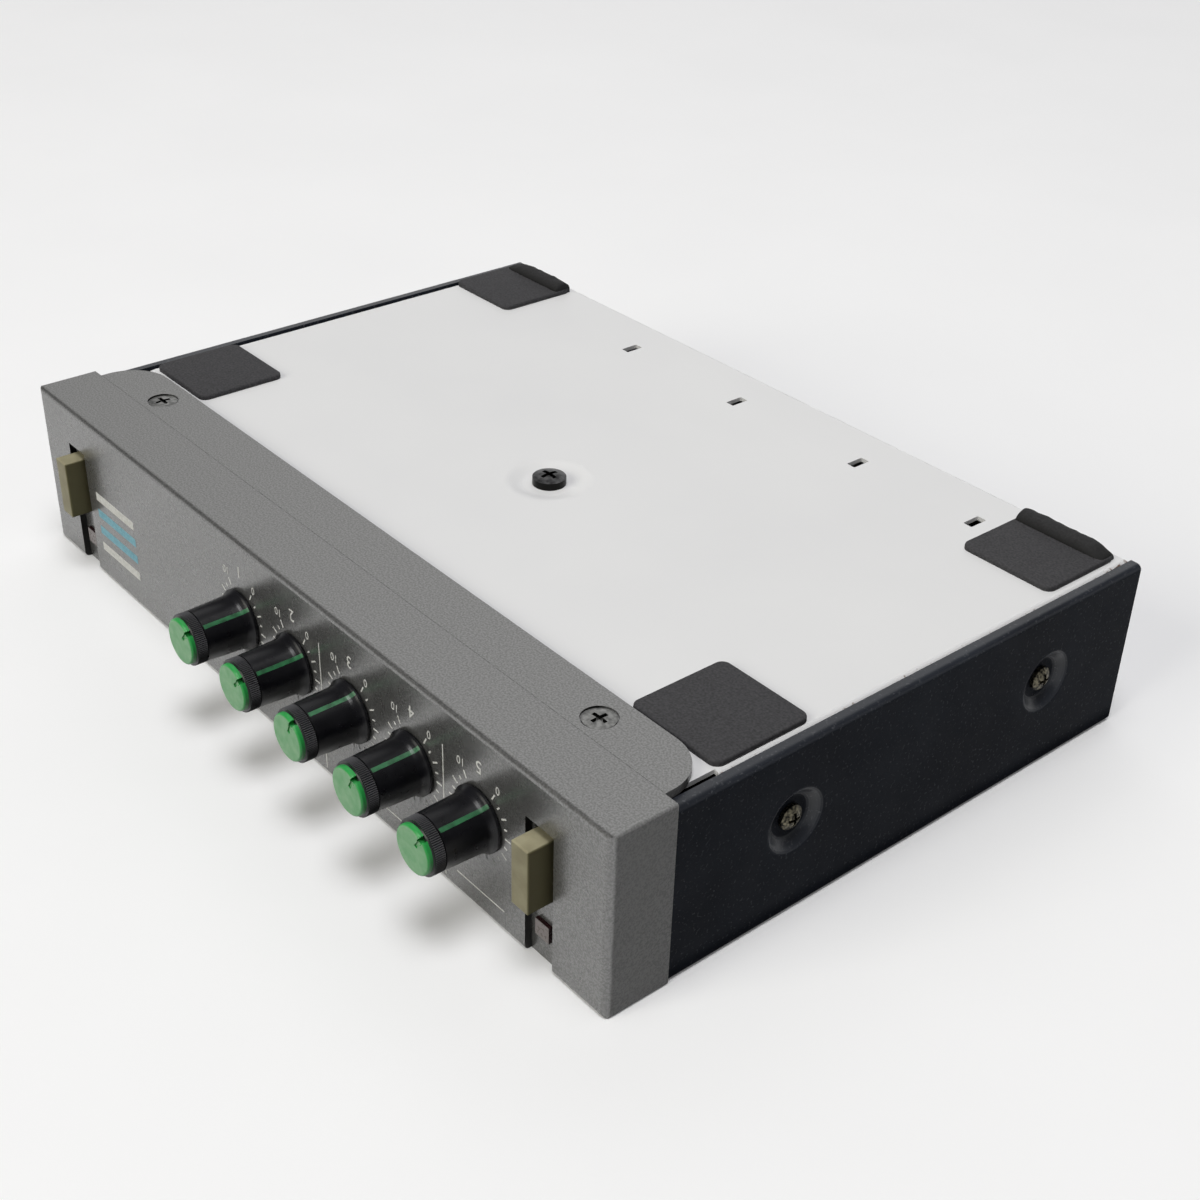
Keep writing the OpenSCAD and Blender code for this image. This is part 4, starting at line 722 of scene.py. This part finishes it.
class UNIT_OT_marks(bpy.types.Operator):
    """Print the scales, lines, numbers and stripes on the bezel"""
    bl_idname = "unit.marks"
    bl_label = "Panel marks"

    def execute(self, context):
        marks = context.scene.unit_looks.marks
        colours = context.scene.unit_looks.colours
        white = screen_ink("ink_screened_white", colours.white_dark, colours.white_light)
        blue = screen_ink("ink_screened_pale_blue", colours.blue_dark, colours.blue_light)
        self.scales(marks, white)
        self.lines(marks, white)
        self.numbers(marks, white)
        self.stripes(marks, white, (0, 3))
        self.stripes(marks, blue, (1, 2))
        return {"FINISHED"}

    def scales(self, marks, ink):
        builder = bmesh.new()
        for axis in KNOB_AXES:
            for i in range(marks.tick_count):
                turn = marks.tick_first - i * marks.tick_step
                way = Vector((math.cos(turn), math.sin(turn)))
                outer = marks.tick_short if i % 2 else marks.tick_long
                centre = Vector((axis.x, axis.z))
                ink_bar(builder, centre + way * marks.tick_inner, centre + way * outer, marks.tick_width,
                        marks.ink)
        keep_mesh("panel_scales", builder, ink, HOUSING)

    def lines(self, marks, ink):
        builder = bmesh.new()
        for left, right in ((1, 2), (3, 4)):
            x = (KNOB_AXES[left].x + KNOB_AXES[right].x) / 2 - DIVIDER_SHIFT
            ink_bar(builder, (x, marks.divider_low), (x, marks.divider_high), marks.line_width, marks.ink)
        half, z = marks.bracket_half, marks.bracket_z
        for x in ((KNOB_AXES[2].x + KNOB_AXES[3].x) / 2, KNOB_AXES[4].x):
            ink_bar(builder, (x - half, z), (x + half, z), marks.line_width, marks.ink)
        keep_mesh("panel_lines", builder, ink, HOUSING)

    def numbers(self, marks, ink):
        builder = bmesh.new()
        last = marks.tick_first - (marks.tick_count - 1) * marks.tick_step
        for number, axis in zip(KNOB_NUMBERS, KNOB_AXES):
            self.number(builder, str(number), marks.number_size, (axis.x, marks.number_z), marks.ink)
            for text, turn in (("0", marks.tick_first), ("10", last)):
                at = (axis.x + marks.limit_radius * math.cos(turn),
                      axis.z + marks.limit_radius * math.sin(turn))
                self.number(builder, text, marks.limit_size, at, marks.ink)
        keep_mesh("panel_numbers", builder, ink, HOUSING)

    def number(self, builder, text, size, at, ink):
        """Adds a number that reads the right way up when the unit stands on its feet."""
        curve = bpy.data.curves.new("number", "FONT")
        curve.body = text
        curve.size = size * FONT_SCALE
        curve.extrude = ink / 2
        curve.align_x = "CENTER"
        curve.align_y = "CENTER"
        holder = bpy.data.objects.new("number", curve)
        mesh = bpy.data.meshes.new_from_object(holder)
        turned = Matrix(((-1, 0, 0), (0, 0, -1), (0, -1, 0))).to_4x4()
        mesh.transform(Matrix.Translation((at[0], BEZEL_LOW.y - ink / 2, at[1])) @ turned)
        builder.from_mesh(mesh)
        bpy.data.objects.remove(holder)
        bpy.data.curves.remove(curve)
        bpy.data.meshes.remove(mesh)

    def stripes(self, marks, ink, rows):
        builder = bmesh.new()
        x, z = marks.stripe_low
        for i in rows:
            middle = z + (i + 0.5) * marks.stripe_pitch
            ink_bar(builder, (x, middle), (x + marks.stripe_size[0], middle), marks.stripe_size[1], marks.ink)
        keep_mesh(f"panel_stripes_{rows[0]}", builder, ink, HOUSING)


class UNIT_OT_feet(bpy.types.Operator):
    """Cut the rubber feet and roll the ridges of the rear ones"""
    bl_idname = "unit.feet"
    bl_label = "Rubber feet"

    def execute(self, context):
        feet = context.scene.unit_looks.feet
        rubber = foamed_rubber(context.scene.unit_looks.colours, PLATE_HIGH.z + feet.thickness)
        for name, node, overhang in (("front_foot_pads", "front_feet", 0),
                                     ("rear_foot_pads", "rear_feet", feet.overhang)):
            builder = bmesh.new()
            box_low, box_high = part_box(node)
            for x, outward in ((box_low.x, -1), (box_high.x - feet.width, 1)):
                cut = feet.cut if outward < 0 and not overhang else 0
                low = Vector((x, box_low.y + cut, box_low.z))
                high = Vector((x + feet.width, box_high.y - overhang, box_low.z + feet.thickness))
                pad_mesh(builder, low, high, feet.corner, feet.soft)
                if overhang:
                    ridge_mesh(builder, Vector((x + feet.ridge_end, box_high.y - feet.ridge, box_low.z)),
                               Vector((x + feet.width - feet.ridge_end, box_high.y, box_high.z)), outward, feet)
            piece = keep_mesh(name, builder, rubber, HOUSING)
            for face in piece.data.polygons:
                face.use_smooth = True
            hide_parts(node)
        return {"FINISHED"}


class UNIT_OT_knobs(bpy.types.Operator):
    """Finish the knobs, their caps and their pointer lines"""
    bl_idname = "unit.knobs"
    bl_label = "Knobs"

    def execute(self, context):
        colours = context.scene.unit_looks.colours
        for stem, finish in (("knob", black_abs(colours)), ("cap", green_abs(colours)),
                             ("line", green_inlay(colours))):
            dress([f"{stem}_{number}" for number in KNOB_NUMBERS], finish)
        return {"FINISHED"}


class UNIT_OT_buttons(bpy.types.Operator):
    """Finish the push buttons and the indicator lenses"""
    bl_idname = "unit.buttons"
    bl_label = "Buttons and lenses"

    def execute(self, context):
        colours = context.scene.unit_looks.colours
        dress(["power_button", "effect_button"], khaki_abs(colours))
        dress(["power_lens", "effect_lens"], red_acrylic(colours))
        dress(["indicator_leds"], red_epoxy())
        return {"FINISHED"}


class UNIT_OT_screws(bpy.types.Operator):
    """Finish the screws"""
    bl_idname = "unit.screws"
    bl_label = "Screws"

    def execute(self, context):
        colours = context.scene.unit_looks.colours
        dress(["bezel_screws"], grey_plated_steel(colours))
        dress(["centre_screw"], black_oxide_steel(colours))
        dress(["side_screws"], yellow_zinc_steel(colours))
        return {"FINISHED"}


class UNIT_OT_inside(bpy.types.Operator):
    """Finish the sockets, switches, boards and what is on them"""
    bl_idname = "unit.inside"
    bl_label = "Sockets and inside"

    def execute(self, context):
        dress(["input_jack", "output_a_jack", "output_b_jack", "remote_jack", "power_inlet", "level_slider",
               "circuit_chips", "regulator"], black_phenolic())
        dress(["jack_washers", "jack_nuts", "inlet_pin", "level_switch", "board_posts", "board_screws",
               "pot_cases", "pot_nuts"] + [f"shaft_{number}" for number in KNOB_NUMBERS], nickel_plate())
        dress(["pot_bushes"], turned_brass())
        dress(["main_board", "control_board"], paper_laminate())
        dress(["power_switch", "effect_switch", "power_plunger", "effect_plunger"], white_nylon())
        dress(["capacitors"], vinyl("pvc_shrunk_blue", "#1a2142", "#232c55", 5))
        dress(["ribbon_cable"], vinyl("pvc_extruded_grey", "#8f8f93", "#a4a4a8", 1.3))
        dress(["heat_sink"], extruded_aluminium())
        return {"FINISHED"}


class UNIT_OT_stage(bpy.types.Operator):
    """Set up the floor, the lights and the camera"""
    bl_idname = "unit.stage"
    bl_label = "Stage"

    def execute(self, context):
        stage = context.scene.unit_looks.stage
        colours = context.scene.unit_looks.colours
        self.floor(context, stage)
        self.lamp("key_lamp", stage.key_place, stage.key_size, stage.key_power, colours.lamp_white)
        self.lamp("front_lamp", stage.front_place, stage.front_size, stage.front_power, colours.lamp_warm)
        self.lamp("back_lamp", stage.back_place, stage.back_size, stage.back_power, colours.lamp_white)
        self.room(context, stage)
        self.camera(context, stage)
        context.scene.view_settings.view_transform = "Standard"
        return {"FINISHED"}

    def floor(self, context, stage):
        builder = bmesh.new()
        bmesh.ops.create_grid(builder, x_segments=1, y_segments=1, size=stage.floor / 2)
        mesh = bpy.data.meshes.new("floor")
        builder.to_mesh(mesh)
        builder.free()
        mesh.materials.append(floor_paper(context.scene.unit_looks.colours, stage.backdrop))
        floor = bpy.data.objects.new("floor", mesh)
        context.scene.collection.objects.link(floor)

    def lamp(self, name, place, size, power, colour):
        light = bpy.data.lights.new(name, "AREA")
        light.color = srgb(colour)[:3]
        light.size = size
        light.energy = power
        lamp = bpy.data.objects.new(name, light)
        lamp.location = place
        lamp.rotation_euler = (-Vector(place)).to_track_quat("-Z", "Y").to_euler()
        bpy.context.scene.collection.objects.link(lamp)

    def room(self, context, stage):
        world = bpy.data.worlds.new("room")
        world.use_nodes = True
        tree = world.node_tree
        sky = tree.nodes["Background"]
        sky.inputs["Color"].default_value = srgb("#ffffff")
        # The room is dim at eye level and brighter overhead, and a pale backdrop is seen low behind the floor.
        way = add(tree, "ShaderNodeTexCoord").outputs["Generated"]
        height = add(tree, "ShaderNodeSeparateXYZ", {"Vector": way}).outputs["Z"]
        room = add(tree, "ShaderNodeMapRange", {"Value": height, "To Min": stage.sky_low,
                                                "To Max": stage.sky_high}).outputs["Result"]
        backdrop = add(tree, "ShaderNodeMapRange", {"Value": height, "From Min": BACKDROP_TOP,
                                                    "From Max": BACKDROP_FULL,
                                                    "To Max": stage.backdrop}).outputs["Result"]
        strength = add(tree, "ShaderNodeMath", {0: seen_rays(tree), 1: backdrop, 2: room},
                       operation="MULTIPLY_ADD")
        tree.links.new(strength.outputs[0], sky.inputs["Strength"])
        context.scene.world = world

    def camera(self, context, stage):
        data = bpy.data.cameras.new("photo_camera")
        data.lens = stage.lens
        data.sensor_width = FILM_WIDTH
        camera = bpy.data.objects.new("photo_camera", data)
        right, up = Vector(stage.camera_right), Vector(stage.camera_up)
        turn = Matrix((right, up, right.cross(up))).transposed().to_4x4()
        camera.matrix_world = Matrix.Translation(stage.camera_place) @ turn
        context.scene.collection.objects.link(camera)
        context.scene.camera = camera


OPERATORS = (UNIT_OT_bezel, UNIT_OT_sheets, UNIT_OT_marks, UNIT_OT_feet, UNIT_OT_knobs, UNIT_OT_buttons,
             UNIT_OT_screws, UNIT_OT_inside, UNIT_OT_stage)


class UNIT_PT_looks(bpy.types.Panel):
    """Lists the pieces that can be finished"""
    bl_idname = "UNIT_PT_looks"
    bl_label = "Effects unit"
    bl_space_type = "VIEW_3D"
    bl_region_type = "UI"
    bl_category = "Effects unit"

    def draw(self, context):
        for operator in OPERATORS:
            self.layout.operator(operator.bl_idname)


CLASSES = (UnitColours, MarkSizes, FootSizes, StageSizes, UnitSettings) + OPERATORS + (UNIT_PT_looks,)


def register():
    for made in CLASSES:
        bpy.utils.register_class(made)
    bpy.types.Scene.unit_looks = PointerProperty(type=UnitSettings)


def unregister():
    del bpy.types.Scene.unit_looks
    for made in reversed(CLASSES):
        bpy.utils.unregister_class(made)


def main():
    register()
    for operator in OPERATORS:
        group, name = operator.bl_idname.split(".")
        getattr(getattr(bpy.ops, group), name)()


if __name__ == "__main__":
    main()
